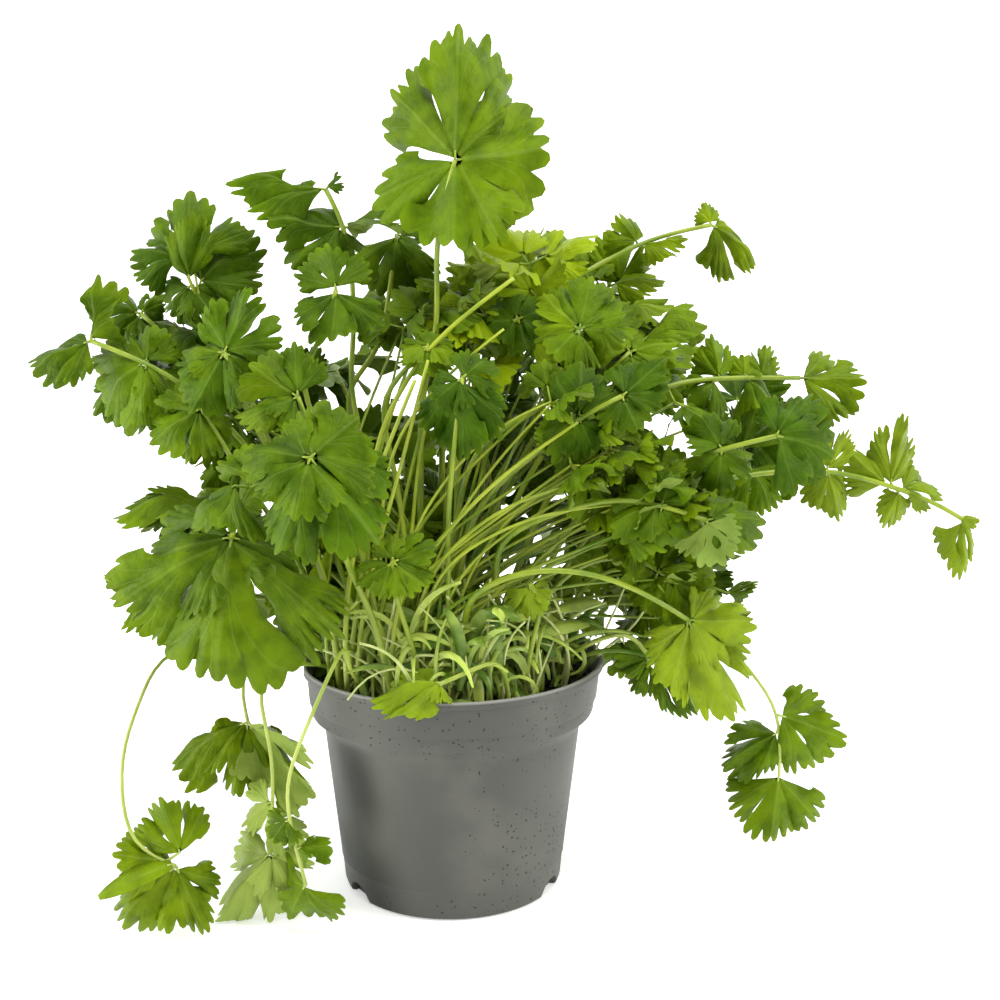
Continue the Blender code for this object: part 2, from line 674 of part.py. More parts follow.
def tube_shadow(tube, grow, first=0):
    """A four-sided hull round a tube, for testing what it would cross."""
    points = []
    faces = []
    line = tube.points[first:]
    radii = tube.radii[first:]
    for index, point in enumerate(line):
        run = line[min(index + 1, len(line) - 1)] - line[max(index - 1, 0)]
        across = run.orthogonal().normalized()
        other = run.cross(across).normalized()
        wide = (radii[index] + grow) * 1.3
        points += [point + across * wide, point + other * wide]
        points += [point - across * wide, point - other * wide]
    for index in range(len(line) - 1):
        for side in range(4):
            turn = (side + 1) % 4
            corner = index * 4
            faces.append((corner + side, corner + turn, corner + 4 + turn, corner + 4 + side))
    return points, faces


def blade_shadow(blade, grow):
    """The two sides of a blade, a little apart, for testing what it would cross."""
    corners, triangles = blade_sheet(blade)
    lift = blade.normal * (BLADE_THICKNESS * 0.5 + grow)
    count = len(corners)
    points = [corner + lift for corner in corners] + [corner - lift for corner in corners]
    faces = triangles + [tuple(corner + count for corner in triangle) for triangle in triangles]
    return points, faces


def shadow(limbs, grow, first=0):
    stem, blades = limbs
    points = []
    faces = []
    shadows = [tube_shadow(stem, grow, first)] + [blade_shadow(blade, grow) for blade in blades]
    for part_points, part_faces in shadows:
        start = len(points)
        points += part_points
        faces += [tuple(corner + start for corner in face) for face in part_faces]
    return points, faces


class Bed:
    """What already stands: the pot and soil, and each leafy stem, as surfaces that a new one has to miss."""

    def __init__(self):
        self.vessel = BVHTree.FromPolygons(*vessel_surface())
        self.free = planting_places()
        self.points = []
        self.faces = []
        self.owners = []
        self.tree = None
        self.homes = {}

    def crossed(self, limbs):
        """The names of the stems that these limbs would cross, and whether they would cross the pot."""
        names = set()
        if self.tree is not None:
            tree = BVHTree.FromPolygons(*shadow(limbs, CLEARANCE))
            names = {self.owners[theirs] for theirs, ours in self.tree.overlap(tree)}
        above = BVHTree.FromPolygons(*shadow(limbs, CLEARANCE, 3))
        return names, bool(self.vessel.overlap(above))

    def plant(self, name, limbs, place, joined):
        """Takes the limbs in: as a stem of their own, or as part of the one that they cross."""
        home = self.homes.get(joined, joined) or name
        self.homes[name] = home
        points, faces = shadow(limbs, 0.0)
        start = len(self.points)
        self.points += points
        self.faces += [tuple(corner + start for corner in face) for face in faces]
        self.owners += [home] * len(faces)
        self.tree = BVHTree.FromPolygons(self.points, self.faces)
        self.free.remove(place)
        return home


def best_limbs(bed, plan, number):
    """The first trial that crosses nothing, or else the one that crosses the fewest stems."""
    ideal = Vector((plan.root[0], plan.root[1], SOIL_HEIGHT))
    places = sorted(bed.free, key=lambda place: (place - ideal).length)
    best = None
    for slide, rank, bow in TRIALS:
        limbs = sprig_limbs(plan, number, places[rank], slide, bow)
        names, in_vessel = bed.crossed(limbs)
        cost = len(names) + (100 if in_vessel else 0)
        if best is None or cost < best[0]:
            best = (cost, limbs, places[rank], names)
        if cost == 0:
            break
    return best[1:]


def wild_limbs(rng, count, number, bed):
    """A leafy stem on the sides that the window shows little of: a leaf of three leaflets over a pair."""
    share = (count * GOLDEN_SHARE + rng.uniform(-0.04, 0.04)) % 1.0
    turn = math.radians(WILD_TURNS[0] + (WILD_TURNS[1] - WILD_TURNS[0]) * share)
    out = Vector((math.sin(turn), -math.cos(turn), 0.0))
    side = Vector((math.cos(turn), math.sin(turn), 0.0))
    up = Vector((0.0, 0.0, 1.0))
    reach = rng.uniform(*WILD_REACHES)
    top = out * reach + up * (rng.uniform(*WILD_HEIGHTS) - 0.35 * reach)
    knee = top * 0.78 + up * (0.26 * SOIL_HEIGHT)
    ideal = out * (0.3 * reach) + up * SOIL_HEIGHT
    place = min(bed.free, key=lambda free: (free - ideal).length)
    plan = Sprig("", (0, 0), [knee, top], [], rng.uniform(2.0, 2.8))
    stem = main_stem(plan, place, 0.0, rng.uniform(-8.0, 8.0))
    line = stem.points
    blades = []
    for spot, turns in ((len(line) - 1, (0.0, 80.0, -80.0)), (len(line) - 2, (62.0, -62.0))):
        for swing in turns:
            swing = math.radians(swing + rng.uniform(-10.0, 10.0))
            axis = out * math.cos(swing) + side * math.sin(swing) + up * rng.uniform(-0.25, 0.35)
            axis.normalize()
            foot = line[spot] + axis * (rng.uniform(7.0, 11.0) if spot < len(line) - 1 else STALK_SHORT)
            size = rng.uniform(*WILD_LEAFLET)
            wide = size * rng.uniform(0.85, 1.05)
            face = up + out * rng.uniform(0.1, 0.5) + side * rng.uniform(-0.3, 0.3)
            run = (line[spot] - line[spot - 1]).normalized()
            tip = foot + axis * size
            blades.append(blade_at(line[spot], run, foot, tip, wide, face, number * 10 + len(blades)))
    return (stem, blades), place


def seedling_limbs(rng, count, number, bed):
    """A seedling by the pot's mouth: a thin stem and its first two leaves."""
    turn = math.radians(rng.uniform(-80.0, 80.0))
    reach = rng.uniform(18.0, 46.0)
    ideal = Vector((math.sin(turn) * reach, -math.cos(turn) * reach, SOIL_HEIGHT))
    place = min(bed.free, key=lambda free: (free - ideal).length)
    up = Vector((0.0, 0.0, 1.0))
    lean = Vector((rng.uniform(-0.5, 0.5), rng.uniform(-0.5, 0.3), 1.0)).normalized()
    top = place + lean * rng.uniform(*SEEDLING_HEIGHTS)
    plan = Sprig("", (0, 0), [top], [], 1.8)
    stem = main_stem(plan, place, 0.0, 0.0)
    blades = []
    swing = rng.uniform(0.0, math.tau)
    for half in (0.0, math.pi):
        level = Vector((math.cos(swing + half), math.sin(swing + half), 0.0))
        axis = (level + up * rng.uniform(0.0, 0.7)).normalized()
        tip = top + axis * rng.uniform(*SEEDLING_STRAP)
        face = up - level * 0.3
        blades.append(blade_at(top, lean, top, tip, SEEDLING_WIDE, face, number * 10 + len(blades)))
    return (stem, blades), place


def grow_all(bed):
    """Every leafy stem, by the name of the node it belongs to."""
    grown = {}
    for number, plan in enumerate(SPRIGS):
        limbs, place, names = best_limbs(bed, plan, number)
        home = bed.plant(plan.name, limbs, place, min(names) if names else None)
        grown.setdefault(home, []).append(limbs)
    number = len(SPRIGS)
    for kind, amount, seed, grower in (
        ("stem_wild", WILD_SPRIGS, WILD_SEED, wild_limbs),
        ("seedling", SEEDLINGS, SEEDLING_SEED, seedling_limbs),
    ):
        rng = random.Random(seed)
        for count in range(amount):
            for _ in range(WILD_TRIES):
                limbs, place = grower(rng, count, number, bed)
                names, in_vessel = bed.crossed(limbs)
                if not names and not in_vessel:
                    name = f"{kind}_{count + 1:02d}"
                    bed.plant(name, limbs, place, None)
                    grown[name] = [limbs]
                    break
            number += 1
    return grown


def material(name, colour, roughness):
    made = bpy.data.materials.new(name)
    made.use_nodes = True
    shader = made.node_tree.nodes["Principled BSDF"]
    shader.inputs["Base Color"].default_value = (*colour, 1.0)
    shader.inputs["Roughness"].default_value = roughness
    return made


def clear_scene():
    for old in list(bpy.data.objects):
        bpy.data.objects.remove(old, do_unlink=True)


def new_collection(name):
    made = bpy.data.collections.new(name)
    bpy.context.scene.collection.children.link(made)
    return made


def new_object(name, mesh, collection, finish=None):
    made = bpy.data.objects.new(name, mesh)
    collection.objects.link(made)
    if finish is not None:
        mesh.materials.append(finish)
    return made


def applied(obj):
    """The object with its modifiers made real."""
    graph = bpy.context.evaluated_depsgraph_get()
    mesh = bpy.data.meshes.new_from_object(obj.evaluated_get(graph))
    obj.modifiers.clear()
    obj.data = mesh
    return obj


def turned(name, profile, collection, finish=None):
    """A profile of (radius, height) points turned round the Z axis, as a closed mesh."""
    shape = bmesh.new()
    corners = [shape.verts.new((radius * MM, 0.0, height * MM)) for radius, height in profile]
    for start, end in zip(corners, corners[1:]):
        shape.edges.new((start, end))
    mesh = bpy.data.meshes.new(name)
    shape.to_mesh(mesh)
    shape.free()
    made = new_object(name, mesh, collection, finish)
    screw = made.modifiers.new("Turn", "SCREW")
    screw.steps = POT_SIDES
    screw.render_steps = POT_SIDES
    screw.use_merge_vertices = True
    screw.merge_threshold = 0.00001
    return applied(made)


def combined(obj, others, operation="DIFFERENCE"):
    """The object with the other collection's objects cut from it or joined to it."""
    cut = obj.modifiers.new("Cut", "BOOLEAN")
    cut.operation = operation
    cut.operand_type = "COLLECTION"
    cut.collection = others
    cut.solver = "MANIFOLD"
    made = applied(obj)
    for used in list(others.objects):
        bpy.data.objects.remove(used, do_unlink=True)
    return made


def build_pot(parts, cutters, finish):
    pot = turned("pot", inner_profile(0.0) + outer_profile(), parts, finish)
    for count in range(DRAIN_NOTCHES):
        turn = math.radians(DRAIN_FIRST_TURN + 360.0 * count / DRAIN_NOTCHES)
        centre = (math.sin(turn) * BASE_RADIUS, -math.cos(turn) * BASE_RADIUS, 0.0)
        size = (DRAIN_WIDE, DRAIN_DEEP * 2.0, DRAIN_TALL)
        as_cutter(box(f"notch_{count}", size, centre, turn, cutters))
    for count in range(DRAIN_HOLES):
        turn = math.tau * (count + 0.5) / DRAIN_HOLES
        as_cutter(drain_hole(count, turn, cutters))
    return combined(pot, cutters)


def box(name, size, centre, turn, collection):
    shape = bmesh.new()
    bmesh.ops.create_cube(shape, size=1.0)
    for corner in shape.verts:
        corner.co = Vector(side * share for side, share in zip(size, corner.co)) * MM
    bmesh.ops.rotate(shape, verts=shape.verts, matrix=Matrix.Rotation(turn, 3, "Z"))
    bmesh.ops.translate(shape, verts=shape.verts, vec=Vector(centre) * MM)
    mesh = bpy.data.meshes.new(name)
    shape.to_mesh(mesh)
    shape.free()
    return new_object(name, mesh, collection)


def drain_hole(count, turn, collection):
    shape = bmesh.new()
    radius = DRAIN_HOLE_RADIUS * MM
    bmesh.ops.create_cone(
        shape, cap_ends=True, segments=6, radius1=radius, radius2=radius, depth=4.0 * FLOOR * MM,
    )
    reach = DRAIN_HOLE_REACH * MM
    bmesh.ops.translate(shape, verts=shape.verts, vec=(math.cos(turn) * reach, math.sin(turn) * reach, 0.0))
    mesh = bpy.data.meshes.new(f"drain_{count}")
    shape.to_mesh(mesh)
    shape.free()
    return new_object(f"drain_{count}", mesh, collection)


def as_cutter(obj):
    obj.hide_render = True
    obj.display_type = "WIRE"


def tube_object(name, tube, collection, finish=None):
    """A tapering tube as a closed mesh."""
    curve = bpy.data.curves.new(name, "CURVE")
    curve.dimensions = "3D"
    curve.bevel_depth = MM
    curve.bevel_resolution = 0
    curve.use_fill_caps = True
    spline = curve.splines.new("POLY")
    spline.points.add(len(tube.points) - 1)
    for corner, point, radius in zip(spline.points, tube.points, tube.radii):
        corner.co = (*(point * MM), 1.0)
        corner.radius = radius
    guide = bpy.data.objects.new(name + "_guide", curve)
    collection.objects.link(guide)
    graph = bpy.context.evaluated_depsgraph_get()
    mesh = bpy.data.meshes.new_from_object(guide.evaluated_get(graph))
    bpy.data.objects.remove(guide, do_unlink=True)
    shape = bmesh.new()
    shape.from_mesh(mesh)
    bmesh.ops.remove_doubles(shape, verts=shape.verts, dist=1e-6)
    bmesh.ops.triangulate(shape, faces=shape.faces)
    bmesh.ops.recalc_face_normals(shape, faces=shape.faces)
    shape.to_mesh(mesh)
    shape.free()
    mesh.materials.clear()
    return new_object(name, mesh, collection, finish)


def blade_object(name, blade, collection, finish=None):
    """A leaflet: a folded fan of triangles from its foot to its cut edge, given its thickness."""
    shape = bmesh.new()
    points, triangles = blade_sheet(blade)
    corners = [shape.verts.new(point * MM) for point in points]
    for triangle in triangles:
        shape.faces.new([corners[index] for index in triangle])
    bmesh.ops.recalc_face_normals(shape, faces=shape.faces)
    bmesh.ops.solidify(shape, geom=shape.faces[:], thickness=BLADE_THICKNESS * MM)
    bmesh.ops.triangulate(shape, faces=[face for face in shape.faces if len(face.verts) > 3])
    bmesh.ops.recalc_face_normals(shape, faces=shape.faces)
    mesh = bpy.data.meshes.new(name)
    shape.to_mesh(mesh)
    shape.free()
    return new_object(name, mesh, collection, finish)


def build_leafy_stem(name, limb_sets, parts, repeats, finish):
    """One node: its first stem, with the other stems and the leaflets joined to it."""
    node = tube_object(name, limb_sets[0][0], parts, finish)
    for count, (stem, blades) in enumerate(limb_sets):
        if count > 0:
            tube_object(f"{name}_{count}", stem, repeats)
        for blade in blades:
            blade_object(f"{name}_{blade.number}", blade, repeats)
    node = combined(node, repeats, "UNION")
    node.data.materials.clear()
    node.data.materials.append(finish)
    return node


def build_holes(grown, cutters):
    """A plain hole in the soil for each stem's buried end."""
    for name, limb_sets in grown.items():
        for count, (stem, blades) in enumerate(limb_sets):
            foot, place = stem.points[:2]
            radius = stem.radii[0] + HOLE_GAP / math.cos(math.pi / 4.0)
            run = (place - foot).normalized()
            line = [foot - run * HOLE_GAP, place + run * HOLE_ABOVE]
            as_cutter(tube_object(f"{name}_hole_{count}", Tube(line, [radius, radius]), cutters))


def main():
    clear_scene()
    parts = new_collection("potted_coriander")
    cutters = new_collection("cutters")
    repeats = new_collection("repeats")
    plastic = material("pot_plastic", (0.155, 0.16, 0.14), 0.62)
    peat = material("peat_soil", (0.02, 0.016, 0.011), 0.95)
    leaf_green = material("leaf_green", (0.13, 0.29, 0.03), 0.5)
    pot = build_pot(parts, cutters, plastic)
    soil = turned("soil", soil_profile(), parts, peat)
    grown = grow_all(Bed())
    for name, limb_sets in grown.items():
        build_leafy_stem(name, limb_sets, parts, repeats, leaf_green)
    build_holes(grown, cutters)
    combined(soil, cutters)
    for obj in (pot, soil):
        obj.data.shade_smooth()
        obj.data.set_sharp_from_angle(angle=math.radians(SHARP_TURN))
    for used in (cutters, repeats):
        bpy.data.collections.remove(used)


main()
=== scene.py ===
"""The looks of a potted coriander: fine leaflets, stems, pot, soil and their finishes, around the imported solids."""

import json
import math
import random
from collections import namedtuple

import bmesh
import bpy
from mathutils import Matrix, Vector, kdtree, noise
from mathutils.bvhtree import BVHTree

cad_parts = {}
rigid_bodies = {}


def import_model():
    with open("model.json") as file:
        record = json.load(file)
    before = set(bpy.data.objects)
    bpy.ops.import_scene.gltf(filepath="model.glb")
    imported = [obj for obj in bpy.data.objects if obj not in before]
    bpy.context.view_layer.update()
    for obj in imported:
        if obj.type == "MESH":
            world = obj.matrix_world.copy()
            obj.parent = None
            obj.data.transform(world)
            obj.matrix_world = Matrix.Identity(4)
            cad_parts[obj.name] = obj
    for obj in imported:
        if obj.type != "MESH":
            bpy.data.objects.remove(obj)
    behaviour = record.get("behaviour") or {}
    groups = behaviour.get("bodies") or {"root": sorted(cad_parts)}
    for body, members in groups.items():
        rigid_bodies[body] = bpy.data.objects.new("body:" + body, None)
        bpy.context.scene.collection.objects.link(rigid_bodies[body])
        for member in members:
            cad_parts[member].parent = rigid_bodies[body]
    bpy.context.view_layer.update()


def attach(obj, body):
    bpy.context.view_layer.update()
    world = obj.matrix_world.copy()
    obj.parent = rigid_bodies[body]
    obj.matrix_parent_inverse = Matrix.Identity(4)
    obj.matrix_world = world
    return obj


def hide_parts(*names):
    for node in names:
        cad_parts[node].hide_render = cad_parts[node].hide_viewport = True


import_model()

MM = 0.001

# Pot, in millimetres
POT_HEIGHT = 92.0
RIM_RADIUS = 60.0
LIP_HEIGHT = 3.0
LIP_DEPTH = 1.4
LIP_SLOPE = 0.8
LIP_ROUND = 0.6
BAND_FOOT_HEIGHT = 75.5
BAND_FOOT_RADIUS = 56.8
STEP_HEIGHT = 66.0
STEP_RADIUS = 51.0
BASE_RADIUS = 43.8
BASE_CHAMFER = 2.0
WALL = 1.3
FLOOR = 1.6
POT_SIDES = 28
DRAIN_NOTCHES = 3
DRAIN_FIRST_TURN = 64.0
DRAIN_WIDE = 11.0
DRAIN_TALL = 7.0
DRAIN_DEEP = 4.0
DRAIN_HOLES = 6
DRAIN_HOLE_RADIUS = 3.5
DRAIN_HOLE_REACH = 26.0
SHARP_TURN = 30.0

# Soil, in millimetres
SOIL_HEIGHT = 84.0
SOIL_GAP = 0.3
SOIL_DROP = 1.0
SOIL_LEVEL = 0.6
HOLE_GAP = 0.3
HOLE_ABOVE = 8.0



def outer_profile():
    """The pot's outside, from the lip down to the middle of its underside."""
    return [
        (RIM_RADIUS, POT_HEIGHT - LIP_ROUND),
        (RIM_RADIUS, POT_HEIGHT - LIP_HEIGHT),
        (RIM_RADIUS - LIP_DEPTH, POT_HEIGHT - LIP_HEIGHT - LIP_SLOPE),
        (BAND_FOOT_RADIUS, BAND_FOOT_HEIGHT),
        (STEP_RADIUS, STEP_HEIGHT),
        (BASE_RADIUS, BASE_CHAMFER),
        (BASE_RADIUS - BASE_CHAMFER, 0.0),
        (0.0, 0.0),
    ]


def inner_profile(gap):
    """The pot's inside from the middle of its floor up to the rim, this much further in."""
    return [
        (0.0, FLOOR + gap),
        (BASE_RADIUS - BASE_CHAMFER - WALL - gap, FLOOR + gap),
        (STEP_RADIUS - WALL - gap, STEP_HEIGHT),
        (BAND_FOOT_RADIUS - WALL - gap, BAND_FOOT_HEIGHT),
        (RIM_RADIUS - LIP_DEPTH - WALL - gap, POT_HEIGHT - LIP_HEIGHT - LIP_SLOPE),
        (RIM_RADIUS - WALL - LIP_ROUND - gap, POT_HEIGHT - LIP_ROUND),
        (RIM_RADIUS - LIP_ROUND, POT_HEIGHT),
    ]


def soil_profile():
    """The soil's outside from the middle of its top down to the middle of its underside."""
    inside = inner_profile(SOIL_GAP)
    low, high = inside[3], inside[4]
    share = (SOIL_HEIGHT - SOIL_DROP - low[1]) / (high[1] - low[1])
    edge = low[0] + (high[0] - low[0]) * share
    return [
        (0.0, SOIL_HEIGHT),
        (edge * SOIL_LEVEL, SOIL_HEIGHT),
        (edge, SOIL_HEIGHT - SOIL_DROP),
        inside[3],
        inside[2],
        inside[1],
        inside[0],
    ]


def vessel_surface():
    """The pot and the soil as rings of corners, for testing what a stem would cross."""
    points = []
    faces = []
    for profile in (inner_profile(0.0) + outer_profile(), soil_profile()):
        start = len(points)
        for radius, height in profile:
            for side in range(POT_SIDES):
                turn = math.tau * side / POT_SIDES
                points.append(Vector((radius * math.cos(turn), radius * math.sin(turn), height)))
        for ring in range(len(profile) - 1):
            low = start + ring * POT_SIDES
            for side in range(POT_SIDES):
                after = (side + 1) % POT_SIDES
                faces.append((low + side, low + after, low + POT_SIDES + after, low + POT_SIDES + side))
    return points, faces


# The viewer's eye, in millimetres, and the square window of 1000 by 1000 that it sees the plant in
EYE = Vector((19.2, -530.0, 252.0))
EYE_PITCH = math.radians(10.43)
EYE_FOCAL = 1382.6
WINDOW_CENTRE = 500.0

# Plant, in millimetres
SOIL_REACH = 50.0
PLANTING_PLACES = 70
ROOT_DEPTH = 12.0
STEM_GIRTH = 2.6
STEM_TIP = 0.9
STALK_HALF = 0.45
STALK_SHORT = 4.5
FLOOR_CLEARANCE = 0.5
RIM_CLEARANCE = 3.5
STEM_STEP = 50.0
ARCH = 0.16
GOLDEN_TURN = math.pi * (3.0 - math.sqrt(5.0))

# Where the upper side of a leaflet looks
SKY = Vector((0.0, -0.4, 0.92))
VIEWER = Vector((0.0, -1.0, 0.3))
BOTH = Vector((0.0, -0.8, 0.6))
AWAY = Vector((0.0, 0.85, 0.5))
LEFTWARD = Vector((-0.75, -0.6, 0.3))
UPRIGHT = Vector((0.0, 0.1, 1.0))

Leaf = namedtuple("Leaf", "joint tip wide face lean near", defaults=(BOTH, 0.0, 0.0))
Sprig = namedtuple("Sprig", "name root route leaves girth", defaults=(STEM_GIRTH,))
Blade = namedtuple("Blade", "stalk foot axis normal length wide number")
Tube = namedtuple("Tube", "points radii")


def seen(across, down, depth):
    """The point that the window shows at this place, at this depth behind the pot's axis."""
    rise = (WINDOW_CENTRE - down) / EYE_FOCAL
    cos_pitch = math.cos(EYE_PITCH)
    sin_pitch = math.sin(EYE_PITCH)
    ahead = depth - EYE.y
    drop = ahead * (rise * cos_pitch - sin_pitch) / (cos_pitch + rise * sin_pitch)
    distance = ahead * cos_pitch - drop * sin_pitch
    return Vector((EYE.x + (across - WINDOW_CENTRE) / EYE_FOCAL * distance, depth, EYE.z + drop))


def in_window(point):
    """Where the window shows a point."""
    gap = point - EYE
    distance = gap.y * math.cos(EYE_PITCH) - gap.z * math.sin(EYE_PITCH)
    rise = gap.y * math.sin(EYE_PITCH) + gap.z * math.cos(EYE_PITCH)
    across = WINDOW_CENTRE + EYE_FOCAL * gap.x / distance
    return Vector((across, WINDOW_CENTRE - EYE_FOCAL * rise / distance))


def slid(point, depth):
    """The same place in the window, moved this much deeper."""
    ray = point - EYE
    return point + ray * (depth / ray.y)


def over_rim(angle, lift):
    """A point just outside the rim, this far above it; the angle turns from the front towards +X."""
    turn = math.radians(angle)
    reach = RIM_RADIUS + RIM_CLEARANCE
    return Vector((math.sin(turn) * reach, -math.cos(turn) * reach, POT_HEIGHT + lift))


